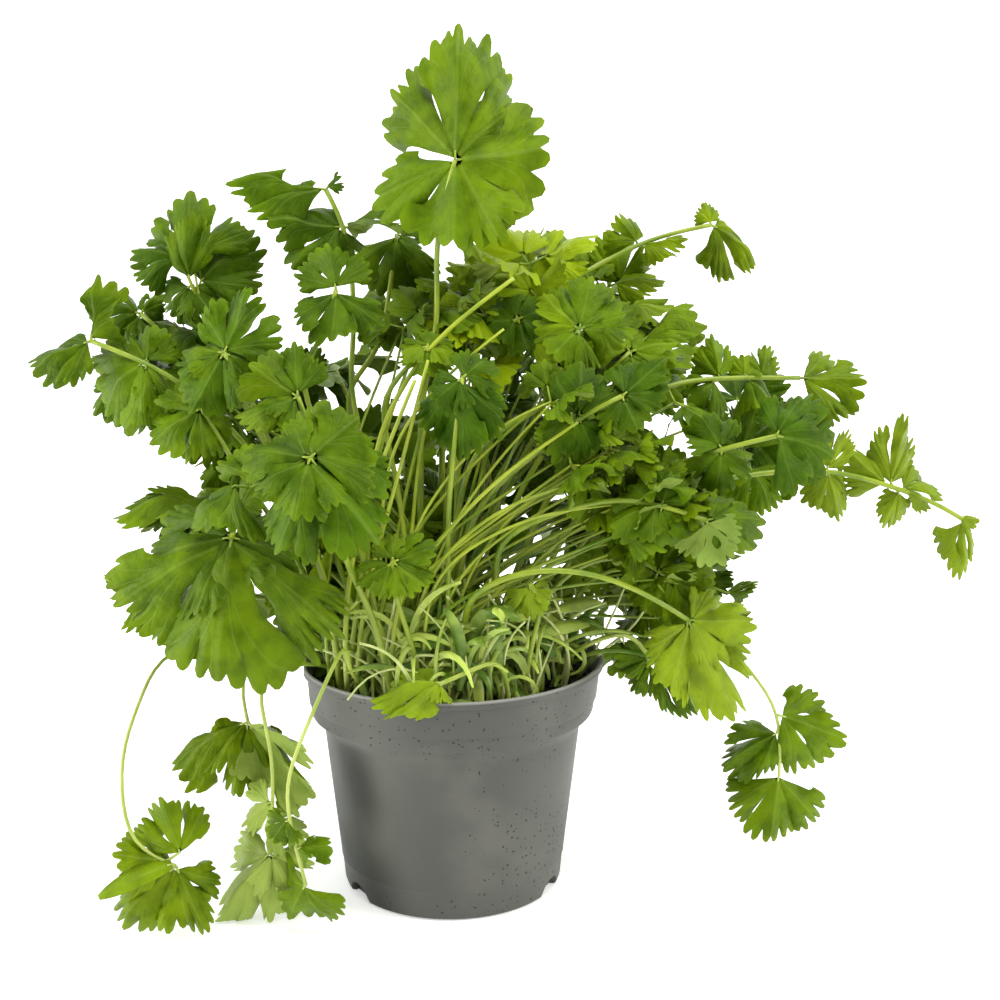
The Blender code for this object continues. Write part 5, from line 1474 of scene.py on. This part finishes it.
def fine_profile():
    """The pot's section, its inside first, with the small steps and rounds that the solid leaves out."""
    lip_foot = POT_HEIGHT - LIP_HEIGHT
    band_top = RIM_RADIUS - LIP_DEPTH
    return [
        (0.0, FLOOR),
        (BASE_RADIUS - BASE_CHAMFER - WALL, FLOOR),
        (BASE_RADIUS - WALL, FLOOR + 2.0),
        (STEP_RADIUS - WALL, STEP_HEIGHT),
        (BAND_FOOT_RADIUS - WALL, BAND_FOOT_HEIGHT),
        (band_top - WALL, lip_foot - LIP_SLOPE),
        (RIM_RADIUS - WALL - 0.5, lip_foot + 0.6),
        (RIM_RADIUS - WALL - 0.3, POT_HEIGHT - 0.7),
        (RIM_RADIUS - WALL + 0.1, POT_HEIGHT - 0.15),
        (RIM_RADIUS - 0.6, POT_HEIGHT),
        (RIM_RADIUS - 0.15, POT_HEIGHT - 0.3),
        (RIM_RADIUS, POT_HEIGHT - 0.9),
        (RIM_RADIUS, lip_foot + 0.3),
        (RIM_RADIUS - 0.3, lip_foot - 0.1),
        (band_top + 0.2, lip_foot - 0.5),
        (band_top, lip_foot - 1.1),
        (BAND_FOOT_RADIUS + 0.7, BAND_FOOT_HEIGHT + 1.95),
        (BAND_FOOT_RADIUS + 0.45, BAND_FOOT_HEIGHT + 1.6),
        (BAND_FOOT_RADIUS + 0.1, BAND_FOOT_HEIGHT + 1.35),
        (BAND_FOOT_RADIUS - 0.6, BAND_FOOT_HEIGHT - 3.3),
        (BAND_FOOT_RADIUS - 1.0, BAND_FOOT_HEIGHT - 4.2),
        (BAND_FOOT_RADIUS - 1.7, BAND_FOOT_HEIGHT - 4.7),
        (STEP_RADIUS + 3.2, STEP_HEIGHT + 3.9),
        (STEP_RADIUS + 0.8, STEP_HEIGHT + 1.2),
        (STEP_RADIUS + 0.1, STEP_HEIGHT),
        (STEP_RADIUS - 0.15, STEP_HEIGHT - 1.2),
        (BASE_RADIUS + 1.15, 12.4),
        (BASE_RADIUS + 1.2, 12.0),
        (BASE_RADIUS + 0.85, 11.6),
        (BASE_RADIUS, BASE_CHAMFER + 0.4),
        (BASE_RADIUS - 0.6, 0.7),
        (BASE_RADIUS - BASE_CHAMFER, 0.0),
        (BASE_RADIUS - BASE_CHAMFER - 3.0, 0.0),
        (BASE_RADIUS - BASE_CHAMFER - 3.6, 0.5),
        (0.0, 0.5),
    ]


def spun(profile, sides):
    """A section spun round the upright axis into a closed form."""
    shape = bmesh.new()
    corners = [shape.verts.new((radius * MM, 0.0, height * MM)) for radius, height in profile]
    edges = [shape.edges.new(ends) for ends in zip(corners, corners[1:])]
    bmesh.ops.spin(
        shape, geom=corners + edges, cent=(0.0, 0.0, 0.0), axis=(0.0, 0.0, 1.0),
        angle=math.tau, steps=sides, use_merge=True,
    )
    bmesh.ops.remove_doubles(shape, verts=shape.verts, dist=0.005 * MM)
    bmesh.ops.recalc_face_normals(shape, faces=shape.faces)
    return shape


def shaped_object(name, shape, finish):
    mesh = bpy.data.meshes.new(name)
    shape.to_mesh(mesh)
    shape.free()
    mesh.materials.append(finish)
    made = bpy.data.objects.new(name, mesh)
    bpy.context.scene.collection.objects.link(made)
    return made


def made_real(obj):
    """The object with its modifiers applied."""
    graph = bpy.context.evaluated_depsgraph_get()
    mesh = bpy.data.meshes.new_from_object(obj.evaluated_get(graph))
    obj.modifiers.clear()
    obj.data = mesh
    return obj


def build_fine_pot(finish):
    shape = spun(fine_profile(), 144)
    for corner in shape.verts:
        place = corner.co / MM
        turn = math.degrees(math.atan2(place.x, -place.y))
        out = Vector((place.x, place.y, 0.0)).normalized() if place.xy.length > 1.0 else Vector()
        dent = 2.2 * math.exp(-((turn + 51.0) / 12.0) ** 2 - ((place.z - 47.0) / 14.0) ** 2)
        crumple = 1.6 * math.exp(-((turn + 82.0) / 9.0) ** 2) * smooth_step(66.0, 90.0, place.z)
        waver = 0.25 * math.sin(3.0 * math.radians(turn)) * smooth_step(20.0, 90.0, place.z)
        if place.z > 3.0:
            corner.co -= out * ((dent + crumple + waver) * MM)
    pot = shaped_object("nursery_pot", shape, finish)
    cutters = bpy.data.collections.new("notches")
    for count in range(DRAIN_NOTCHES):
        turn = math.radians(DRAIN_FIRST_TURN + 360.0 * count / DRAIN_NOTCHES)
        notch = bmesh.new()
        bmesh.ops.create_cone(
            notch, cap_ends=True, segments=32, radius1=DRAIN_WIDE * 0.5 * MM, radius2=DRAIN_WIDE * 0.5 * MM,
            depth=DRAIN_DEEP * 2.0 * MM,
        )
        bmesh.ops.rotate(notch, verts=notch.verts, matrix=Matrix.Rotation(math.pi / 2.0, 3, "X"))
        bmesh.ops.scale(notch, verts=notch.verts, vec=(1.3, 1.0, 1.15))
        bmesh.ops.rotate(notch, verts=notch.verts, matrix=Matrix.Rotation(turn, 3, "Z"))
        reach = BASE_RADIUS * MM
        bmesh.ops.translate(notch, verts=notch.verts, vec=(math.sin(turn) * reach, -math.cos(turn) * reach, 0.0))
        mesh = bpy.data.meshes.new(f"notch_{count}")
        notch.to_mesh(mesh)
        notch.free()
        cutters.objects.link(bpy.data.objects.new(f"notch_{count}", mesh))
    for count in range(DRAIN_HOLES):
        turn = math.tau * (count + 0.5) / DRAIN_HOLES
        hole = bmesh.new()
        bmesh.ops.create_cone(
            hole, cap_ends=True, segments=24, radius1=DRAIN_HOLE_RADIUS * MM, radius2=DRAIN_HOLE_RADIUS * MM,
            depth=4.0 * FLOOR * MM,
        )
        reach = DRAIN_HOLE_REACH * MM
        bmesh.ops.translate(hole, verts=hole.verts, vec=(math.cos(turn) * reach, math.sin(turn) * reach, 0.0))
        mesh = bpy.data.meshes.new(f"drain_{count}")
        hole.to_mesh(mesh)
        hole.free()
        cutters.objects.link(bpy.data.objects.new(f"drain_{count}", mesh))
    cut = pot.modifiers.new("Drains", "BOOLEAN")
    cut.operation = "DIFFERENCE"
    cut.operand_type = "COLLECTION"
    cut.collection = cutters
    cut.solver = "MANIFOLD"
    made_real(pot)
    for used in list(cutters.objects):
        bpy.data.objects.remove(used, do_unlink=True)
    bpy.data.collections.remove(cutters)
    pot.data.shade_smooth()
    pot.data.set_sharp_from_angle(angle=math.radians(38.0))
    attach(pot, "root")
    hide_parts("pot")


def build_fine_soil(finish):
    """The soil with a crumbly top, and loose crumbs on it."""
    profile = [(radius, height) for radius, height in soil_profile()]
    edge = profile[2]
    rings = [(edge[0] * index / 26.0, SOIL_HEIGHT - SOIL_DROP * (index / 26.0) ** 4) for index in range(27)]
    shape = spun(rings + profile[3:], 120)
    for corner in shape.verts:
        place = corner.co / MM
        if place.z > SOIL_HEIGHT - SOIL_DROP - 0.1 and place.xy.length < edge[0] - 0.5:
            lump = noise.noise(place * 0.22) * 1.4 + noise.noise(place * 0.7) * 0.9
            corner.co.z += (lump - 0.3) * MM
    rng = random.Random(4)
    for _ in range(420):
        turn = rng.uniform(0.0, math.tau)
        reach = (edge[0] - 2.0) * math.sqrt(rng.random())
        crumb = bmesh.ops.create_icosphere(shape, subdivisions=1, radius=rng.uniform(0.5, 1.7) * MM)["verts"]
        bmesh.ops.scale(shape, verts=crumb, vec=(1.0, rng.uniform(0.6, 1.0), rng.uniform(0.5, 0.9)))
        bmesh.ops.rotate(shape, verts=crumb, matrix=Matrix.Rotation(rng.uniform(0.0, 3.0), 3, "Z"))
        place = Vector((math.cos(turn) * reach, math.sin(turn) * reach, SOIL_HEIGHT + rng.uniform(-0.3, 0.6)))
        bmesh.ops.translate(shape, verts=crumb, vec=place * MM)
    soil = shaped_object("moist_peat", shape, finish)
    soil.data.shade_smooth()
    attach(soil, "root")
    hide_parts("soil")


def new_group(name, inputs, outputs):
    """A shader node group with its named sockets, and its input and output nodes."""
    group = bpy.data.node_groups.new(name, "ShaderNodeTree")
    for label, kind, value in inputs:
        socket = group.interface.new_socket(label, in_out="INPUT", socket_type=kind)
        if value is not None:
            socket.default_value = value
    for label, kind in outputs:
        group.interface.new_socket(label, in_out="OUTPUT", socket_type=kind)
    return group, group.nodes.new("NodeGroupInput"), group.nodes.new("NodeGroupOutput")


def maths(tree, operation, *values, clamp=False):
    """A Math node fed by sockets or numbers; gives its result."""
    node = tree.nodes.new("ShaderNodeMath")
    node.operation = operation
    node.use_clamp = clamp
    for index, value in enumerate(values):
        if isinstance(value, (int, float)):
            node.inputs[index].default_value = value
        else:
            tree.links.new(value, node.inputs[index])
    return node.outputs[0]


def ranged(tree, value, low, high, start=0.0, end=1.0):
    """A value stretched smoothly from one range to another."""
    node = tree.nodes.new("ShaderNodeMapRange")
    node.interpolation_type = "SMOOTHSTEP"
    tree.links.new(value, node.inputs["Value"])
    for label, number in (("From Min", low), ("From Max", high), ("To Min", start), ("To Max", end)):
        node.inputs[label].default_value = number
    return node.outputs[0]


def mixed(tree, share, first, second, blend="MIX"):
    """Two colours mixed; each is a socket or a plain colour."""
    node = tree.nodes.new("ShaderNodeMix")
    node.data_type = "RGBA"
    node.blend_type = blend
    for socket, value in ((node.inputs[0], share), (node.inputs[6], first), (node.inputs[7], second)):
        if isinstance(value, (int, float)):
            socket.default_value = value
        elif isinstance(value, tuple):
            socket.default_value = (*value, 1.0)
        else:
            tree.links.new(value, socket)
    return node.outputs[2]


def speckle_group():
    """Uneven patches: soft clouds at one size and grains at another, over Object coordinates."""
    group, given, result = new_group(
        "patches",
        [("Cloud Scale", "NodeSocketFloat", 40.0), ("Grain Scale", "NodeSocketFloat", 900.0)],
        [("Cloud", "NodeSocketFloat"), ("Grain", "NodeSocketFloat")],
    )
    place = group.nodes.new("ShaderNodeTexCoord").outputs["Object"]
    for label, detail in (("Cloud", 4.0), ("Grain", 2.0)):
        texture = group.nodes.new("ShaderNodeTexNoise")
        texture.inputs["Detail"].default_value = detail
        group.links.new(place, texture.inputs["Vector"])
        group.links.new(given.outputs[f"{label} Scale"], texture.inputs["Scale"])
        group.links.new(texture.outputs["Fac"], result.inputs[label])
    return group


def leaf_veins_group():
    """The ribs of a lobe: one down its middle, and side ribs that part from it to the teeth."""
    group, given, result = new_group(
        "leaf_ribs", [("Teeth", "NodeSocketFloat", 5.0)],
        [("Rib", "NodeSocketFloat"), ("Swell", "NodeSocketFloat"), ("Edge", "NodeSocketFloat")],
    )
    pattern = group.nodes.new("ShaderNodeUVMap")
    pattern.uv_map = "pattern"
    apart = group.nodes.new("ShaderNodeSeparateXYZ")
    group.links.new(pattern.outputs["UV"], apart.inputs[0])
    across = maths(group, "MULTIPLY_ADD", apart.outputs["X"], 2.0, -1.0)
    reach = apart.outputs["Y"]
    middle = maths(group, "MULTIPLY", maths(group, "ABSOLUTE", across), reach)
    main_rib = ranged(group, middle, 0.012, 0.055, 1.0, 0.0)
    beyond = maths(group, "MAXIMUM", maths(group, "SUBTRACT", reach, 0.1), 0.02)
    phase = maths(group, "DIVIDE", maths(group, "MULTIPLY", across, given.outputs["Teeth"]), beyond)
    phase = maths(group, "MULTIPLY", phase, 0.45)
    wave = maths(group, "ABSOLUTE", maths(group, "SUBTRACT", maths(group, "FRACT", maths(group, "ADD", phase, 0.5)), 0.5))
    width = maths(group, "MULTIPLY", wave, beyond)
    side_rib = ranged(group, width, 0.015, 0.07, 0.7, 0.0)
    within = maths(group, "SUBTRACT", maths(group, "MULTIPLY", given.outputs["Teeth"], 0.5), maths(group, "ABSOLUTE", phase))
    side_rib = maths(group, "MULTIPLY", side_rib, ranged(group, within, -0.25, 0.0))
    side_rib = maths(group, "MULTIPLY", side_rib, ranged(group, reach, 0.1, 0.3))
    rib = maths(group, "MAXIMUM", main_rib, side_rib)
    group.links.new(rib, result.inputs["Rib"])
    group.links.new(maths(group, "MULTIPLY", width, 4.0, clamp=True), result.inputs["Swell"])
    group.links.new(ranged(group, reach, 0.86, 1.0), result.inputs["Edge"])
    return group


def new_finish(name):
    made = bpy.data.materials.new(name)
    made.use_nodes = True
    return made, made.node_tree, made.node_tree.nodes["Principled BSDF"]


def placed(tree, group, **values):
    node = tree.nodes.new("ShaderNodeGroup")
    node.node_tree = group
    for label, value in values.items():
        node.inputs[label.replace("_", " ")].default_value = value
    return node


def bumped(tree, shader, height, strength, distance):
    bump = tree.nodes.new("ShaderNodeBump")
    bump.inputs["Strength"].default_value = strength
    bump.inputs["Distance"].default_value = distance
    tree.links.new(height, bump.inputs["Height"])
    tree.links.new(bump.outputs["Normal"], shader.inputs["Normal"])


def leaf_finish(patches, ribs):
    finish, tree, shader = new_finish("coriander_leaf")
    tone = tree.nodes.new("ShaderNodeVertexColor")
    tone.layer_name = "tone"
    marks = tree.nodes.new("ShaderNodeSeparateColor")
    tree.links.new(tone.outputs["Color"], marks.inputs[0])
    light, yellow, under = marks.outputs[0], marks.outputs[1], marks.outputs[2]
    cloud = placed(tree, patches, Cloud_Scale=110.0, Grain_Scale=1400.0)
    rib = placed(tree, ribs, Teeth=5.0)
    deep = mixed(tree, yellow, (0.02, 0.06, 0.0005), (0.05, 0.1, 0.0003))
    bright = mixed(tree, yellow, (0.09, 0.2, 0.003), (0.25, 0.35, 0.001))
    patch = ranged(tree, cloud.outputs["Cloud"], 0.3, 0.7, -0.24, 0.24)
    blade = mixed(tree, maths(tree, "ADD", light, patch, clamp=True), deep, bright)
    swell = maths(tree, "MULTIPLY", rib.outputs["Swell"], 0.1)
    blade = mixed(tree, swell, blade, bright)
    pale = mixed(tree, yellow, (0.2, 0.3, 0.05), (0.37, 0.47, 0.11))
    blade = mixed(tree, maths(tree, "MULTIPLY", rib.outputs["Rib"], 0.15), blade, pale)
    blade = mixed(tree, maths(tree, "MULTIPLY", rib.outputs["Edge"], 0.12), blade, (0.24, 0.36, 0.005))
    blade = mixed(tree, maths(tree, "MULTIPLY", under, 0.8), blade, pale)
    tree.links.new(blade, shader.inputs["Base Color"])
    rough = ranged(tree, cloud.outputs["Cloud"], 0.3, 0.7, 0.42, 0.56)
    tree.links.new(rough, shader.inputs["Roughness"])
    shader.inputs["Specular IOR Level"].default_value = 0.24
    shader.inputs["Specular Tint"].default_value = (0.85, 1.0, 0.3, 1.0)
    height = maths(tree, "MULTIPLY_ADD", rib.outputs["Rib"], -0.6, maths(tree, "MULTIPLY", rib.outputs["Swell"], 0.3))
    crinkle = placed(tree, patches, Cloud_Scale=420.0, Grain_Scale=900.0)
    height = maths(tree, "ADD", height, maths(tree, "MULTIPLY", crinkle.outputs["Cloud"], 2.2))
    bumped(tree, shader, height, 0.45, 0.0005)
    return finish


def stem_finish(patches):
    finish, tree, shader = new_finish("coriander_stem")
    place = tree.nodes.new("ShaderNodeTexCoord")
    apart = tree.nodes.new("ShaderNodeSeparateXYZ")
    tree.links.new(place.outputs["Object"], apart.inputs[0])
    cloud = placed(tree, patches, Cloud_Scale=70.0, Grain_Scale=700.0)
    tone = tree.nodes.new("ShaderNodeVertexColor")
    tone.layer_name = "tone"
    marks = tree.nodes.new("ShaderNodeSeparateColor")
    tree.links.new(tone.outputs["Color"], marks.inputs[0])
    share = maths(tree, "MULTIPLY_ADD", marks.outputs[0], 0.75, ranged(tree, cloud.outputs["Cloud"], 0.3, 0.7, -0.2, 0.3), clamp=True)
    green = mixed(tree, share, (0.09, 0.19, 0.001), (0.4, 0.48, 0.03))
    pale = mixed(tree, share, (0.26, 0.38, 0.02), (0.6, 0.66, 0.2))
    low = ranged(tree, apart.outputs["Z"], 0.082, 0.12, 0.85, 0.0)
    tree.links.new(mixed(tree, low, green, pale), shader.inputs["Base Color"])
    shader.inputs["Roughness"].default_value = 0.34
    shader.inputs["Specular IOR Level"].default_value = 0.5
    bumped(tree, shader, cloud.outputs["Grain"], 0.2, 0.0003)
    return finish


def pale_shoot_finish(patches, name, dull, clear):
    finish, tree, shader = new_finish(name)
    tone = tree.nodes.new("ShaderNodeVertexColor")
    tone.layer_name = "tone"
    marks = tree.nodes.new("ShaderNodeSeparateColor")
    tree.links.new(tone.outputs["Color"], marks.inputs[0])
    cloud = placed(tree, patches, Cloud_Scale=90.0, Grain_Scale=900.0)
    share = maths(tree, "ADD", marks.outputs[0], ranged(tree, cloud.outputs["Cloud"], 0.3, 0.7, -0.25, 0.25), clamp=True)
    tree.links.new(mixed(tree, share, dull, clear), shader.inputs["Base Color"])
    shader.inputs["Roughness"].default_value = 0.38
    bumped(tree, shader, cloud.outputs["Grain"], 0.25, 0.0003)
    return finish


# Painted shade on the pot, dark ovals by its dent and at its lower left: where, how wide, and how dark
PAINTED_SHADES = (
    ((-0.0352, -0.0345, 0.0495), 0.0175, 0.85),
    ((-0.0415, -0.0165, 0.013), 0.026, 0.97),
    ((-0.0295, -0.032, 0.001), 0.023, 0.95),
)


def with_painted_shade(tree, place, base):
    """Painted shade: soft dark ovals on the plastic, by the dent and at the lower left."""
    tall = tree.nodes.new("ShaderNodeVectorMath")
    tall.operation = "MULTIPLY"
    tall.inputs[1].default_value = (1.0, 1.0, 0.6)
    tree.links.new(place, tall.inputs[0])
    for (x, y, z), wide, dark in PAINTED_SHADES:
        away = tree.nodes.new("ShaderNodeVectorMath")
        away.operation = "DISTANCE"
        away.inputs[1].default_value = (x, y, z * 0.6)
        tree.links.new(tall.outputs[0], away.inputs[0])
        base = mixed(tree, ranged(tree, away.outputs["Value"], 0.002, wide, dark, 0.0), base, (0.012, 0.013, 0.008))
    return base


def speckled(tree, place, cloud, base):
    """Specks of soil, most of them on the band, the right side and the foot."""
    apart = tree.nodes.new("ShaderNodeSeparateXYZ")
    tree.links.new(place, apart.inputs[0])
    right = ranged(tree, apart.outputs["X"], -0.02, 0.05)
    band = ranged(tree, apart.outputs["Z"], 0.064, 0.074)
    foot = ranged(tree, apart.outputs["Z"], 0.004, 0.018, 1.0, 0.0)
    dirty = maths(tree, "MAXIMUM", maths(tree, "MAXIMUM", band, foot), right)
    dirty = maths(tree, "MULTIPLY", dirty, ranged(tree, cloud, 0.3, 0.65, 0.35, 1.0))
    least = ranged(tree, dirty, 0.0, 1.0, 0.9, 0.3)
    specks = tree.nodes.new("ShaderNodeTexVoronoi")
    specks.inputs["Scale"].default_value = 560.0
    rough = tree.nodes.new("ShaderNodeTexNoise")
    rough.inputs["Scale"].default_value = 900.0
    tree.links.new(place, rough.inputs["Vector"])
    shifted = tree.nodes.new("ShaderNodeVectorMath")
    shifted.operation = "MULTIPLY_ADD"
    shifted.inputs[1].default_value = (0.0016, 0.0016, 0.0016)
    tree.links.new(rough.outputs["Color"], shifted.inputs[0])
    tree.links.new(place, shifted.inputs[2])
    tree.links.new(shifted.outputs[0], specks.inputs["Vector"])
    marks = tree.nodes.new("ShaderNodeSeparateColor")
    tree.links.new(specks.outputs["Color"], marks.inputs[0])
    over = maths(tree, "SUBTRACT", marks.outputs[0], least)
    size = maths(tree, "MINIMUM", maths(tree, "MULTIPLY", over, 1.1), 0.29)
    edge = maths(tree, "SUBTRACT", size, specks.outputs["Distance"])
    return mixed(tree, ranged(tree, edge, 0.0, 0.06, 0.0, 0.9), base, (0.008, 0.008, 0.005))


def plastic_finish(patches):
    finish, tree, shader = new_finish("matt_pot_plastic")
    place = tree.nodes.new("ShaderNodeTexCoord").outputs["Object"]
    cloud = placed(tree, patches, Cloud_Scale=28.0, Grain_Scale=1500.0)
    streak = placed(tree, patches, Cloud_Scale=9.0, Grain_Scale=260.0)
    base = mixed(tree, streak.outputs["Cloud"], (0.054, 0.056, 0.048), (0.08, 0.083, 0.071))
    base = mixed(tree, ranged(tree, cloud.outputs["Cloud"], 0.45, 0.72, 0.0, 0.5), base, (0.145, 0.142, 0.116))
    sides = tree.nodes.new("ShaderNodeSeparateXYZ")
    tree.links.new(place, sides.inputs[0])
    # Painted light: the plastic is lighter towards its left and right sides and darker in the middle, as if lit from
    # both sides.
    painted_side_light = ranged(tree, sides.outputs["X"], -0.032, -0.004, 0.75, 0.0)
    painted_side_light = maths(tree, "ADD", painted_side_light, ranged(tree, sides.outputs["X"], 0.018, 0.042, 0.0, 0.3))
    base = mixed(tree, painted_side_light, base, (0.123, 0.126, 0.11))
    # Painted shade: dark ovals by the dent and at the lower left of the pot.
    base = with_painted_shade(tree, place, base)
    base = speckled(tree, place, cloud.outputs["Cloud"], base)
    apart = tree.nodes.new("ShaderNodeSeparateXYZ")
    tree.links.new(place, apart.inputs[0])
    # Painted highlight: a light line along the top edge of the rim.
    painted_rim_highlight = ranged(tree, apart.outputs["Z"], 0.0908, 0.0916, 0.0, 0.6)
    base = mixed(tree, painted_rim_highlight, base, (0.36, 0.36, 0.33))
    tree.links.new(base, shader.inputs["Base Color"])
    rough = ranged(tree, cloud.outputs["Cloud"], 0.3, 0.7, 0.46, 0.64)
    tree.links.new(rough, shader.inputs["Roughness"])
    shader.inputs["Specular IOR Level"].default_value = 0.4
    bumped(tree, shader, cloud.outputs["Grain"], 0.12, 0.0004)
    return finish


def soil_finish(patches):
    finish, tree, shader = new_finish("moist_peat")
    cloud = placed(tree, patches, Cloud_Scale=160.0, Grain_Scale=1100.0)
    base = mixed(tree, cloud.outputs["Cloud"], (0.006, 0.005, 0.004), (0.035, 0.025, 0.017))
    base = mixed(tree, ranged(tree, cloud.outputs["Grain"], 0.6, 0.75, 0.0, 0.6), base, (0.09, 0.065, 0.04))
    tree.links.new(base, shader.inputs["Base Color"])
    shader.inputs["Roughness"].default_value = 0.92
    bumped(tree, shader, cloud.outputs["Grain"], 0.8, 0.001)
    return finish


def build_floor():
    """A pale floor that curves up behind into a plain backdrop."""
    shape = bmesh.new()
    section = [(-4.0, 0.0), (1.6, 0.0), (2.1, 0.07), (2.5, 0.3), (2.72, 0.7), (2.8, 1.2), (2.8, 4.5)]
    corners = [shape.verts.new((-5.0, along, height)) for along, height in section]
    edges = [shape.edges.new(ends) for ends in zip(corners, corners[1:])]
    grown = bmesh.ops.extrude_edge_only(shape, edges=edges)["geom"]
    fresh = [item for item in grown if isinstance(item, bmesh.types.BMVert)]
    bmesh.ops.translate(shape, verts=fresh, vec=(10.0, 0.0, 0.0))
    bmesh.ops.recalc_face_normals(shape, faces=shape.faces)
    finish, tree, shader = new_finish("pale_floor")
    shader.inputs["Base Color"].default_value = (0.9, 0.9, 0.9, 1.0)
    shader.inputs["Roughness"].default_value = 0.9
    shader.inputs["Specular IOR Level"].default_value = 0.2
    shader.inputs["Emission Color"].default_value = (1.0, 1.0, 1.0, 1.0)
    shader.inputs["Emission Strength"].default_value = 0.42
    floor = shaped_object("floor", shape, finish)
    floor.data.shade_smooth()


def area_light(name, place, target, size, power, colour):
    light = bpy.data.lights.new(name, "AREA")
    light.size = size
    light.energy = power
    light.color = colour
    made = bpy.data.objects.new(name, light)
    made.location = place
    made.rotation_euler = (Vector(target) - Vector(place)).to_track_quat("-Z", "Y").to_euler()
    bpy.context.scene.collection.objects.link(made)


def build_camera_and_light():
    lens = bpy.data.cameras.new("viewer")
    lens.sensor_width = 36.0
    lens.lens = EYE_FOCAL / 1000.0 * 36.0
    lens.clip_start = 0.01
    viewer = bpy.data.objects.new("viewer", lens)
    viewer.location = EYE * MM
    viewer.rotation_euler = (math.pi / 2.0 - EYE_PITCH, 0.0, 0.0)
    bpy.context.scene.collection.objects.link(viewer)
    bpy.context.scene.camera = viewer
    middle = (0.0, 0.0, 0.16)
    area_light("overhead", (0.15, -0.3, 1.15), middle, 1.0, 13.5, (1.0, 0.99, 0.95))
    area_light("window_right", (1.25, -0.3, 0.6), middle, 0.5, 9.0, (1.0, 0.99, 0.97))
    area_light("fill_left", (-1.3, -0.4, 0.35), middle, 0.8, 17.0, (0.98, 0.99, 1.0))
    area_light("backdrop", (0.0, 0.9, 1.6), (0.0, 2.6, 0.4), 1.6, 45.0, (1.0, 1.0, 1.0))
    bpy.context.scene.view_settings.view_transform = "Standard"
    world = bpy.data.worlds.new("studio")
    world.use_nodes = True
    back = world.node_tree.nodes["Background"]
    back.inputs["Color"].default_value = (1.0, 1.0, 0.97, 1.0)
    sight = world.node_tree.nodes.new("ShaderNodeLightPath")
    strength = maths(world.node_tree, "MULTIPLY_ADD", sight.outputs["Is Camera Ray"], 0.61, 0.34)
    world.node_tree.links.new(strength, back.inputs["Strength"])
    bpy.context.scene.world = world


def main():
    build_camera_and_light()
    patches = speckle_group()
    ribs = leaf_veins_group()
    leaf = leaf_finish(patches, ribs)
    stem = stem_finish(patches)
    build_floor()
    build_fine_pot(plastic_finish(patches))
    build_fine_soil(soil_finish(patches))
    shoot = pale_shoot_finish(patches, "pale_shoot", (0.16, 0.26, 0.008), (0.66, 0.73, 0.28))
    strap = pale_shoot_finish(patches, "first_leaf", (0.07, 0.16, 0.002), (0.5, 0.63, 0.1))
    rng = random.Random(3)
    for name, limb_sets in grow_all(Bed()).items():
        piece = Piece(name + "_fine")
        seedling = name.startswith("seedling")
        tones = TONES[STEM_TONES.get(name, "pale" if seedling else "fresh")]
        for limbs in limb_sets:
            add_limbs(piece, limbs, tones, rng, PARTED_STEMS.get(name), DRAWN_STEMS.get(name, DRAWN_IN))
        finishes = (strap, shoot) if seedling else (leaf, stem)
        piece.finished(finishes, (name,))
    fill_shoots((leaf, stem))
    bundles((leaf, stem))
    standing_stems("crossing_stems", STEM_ROUTES, (leaf, stem))
    standing_stems("white_shoots", PALE_ROUTES, (strap, shoot))
    tangle((strap, shoot))


main()
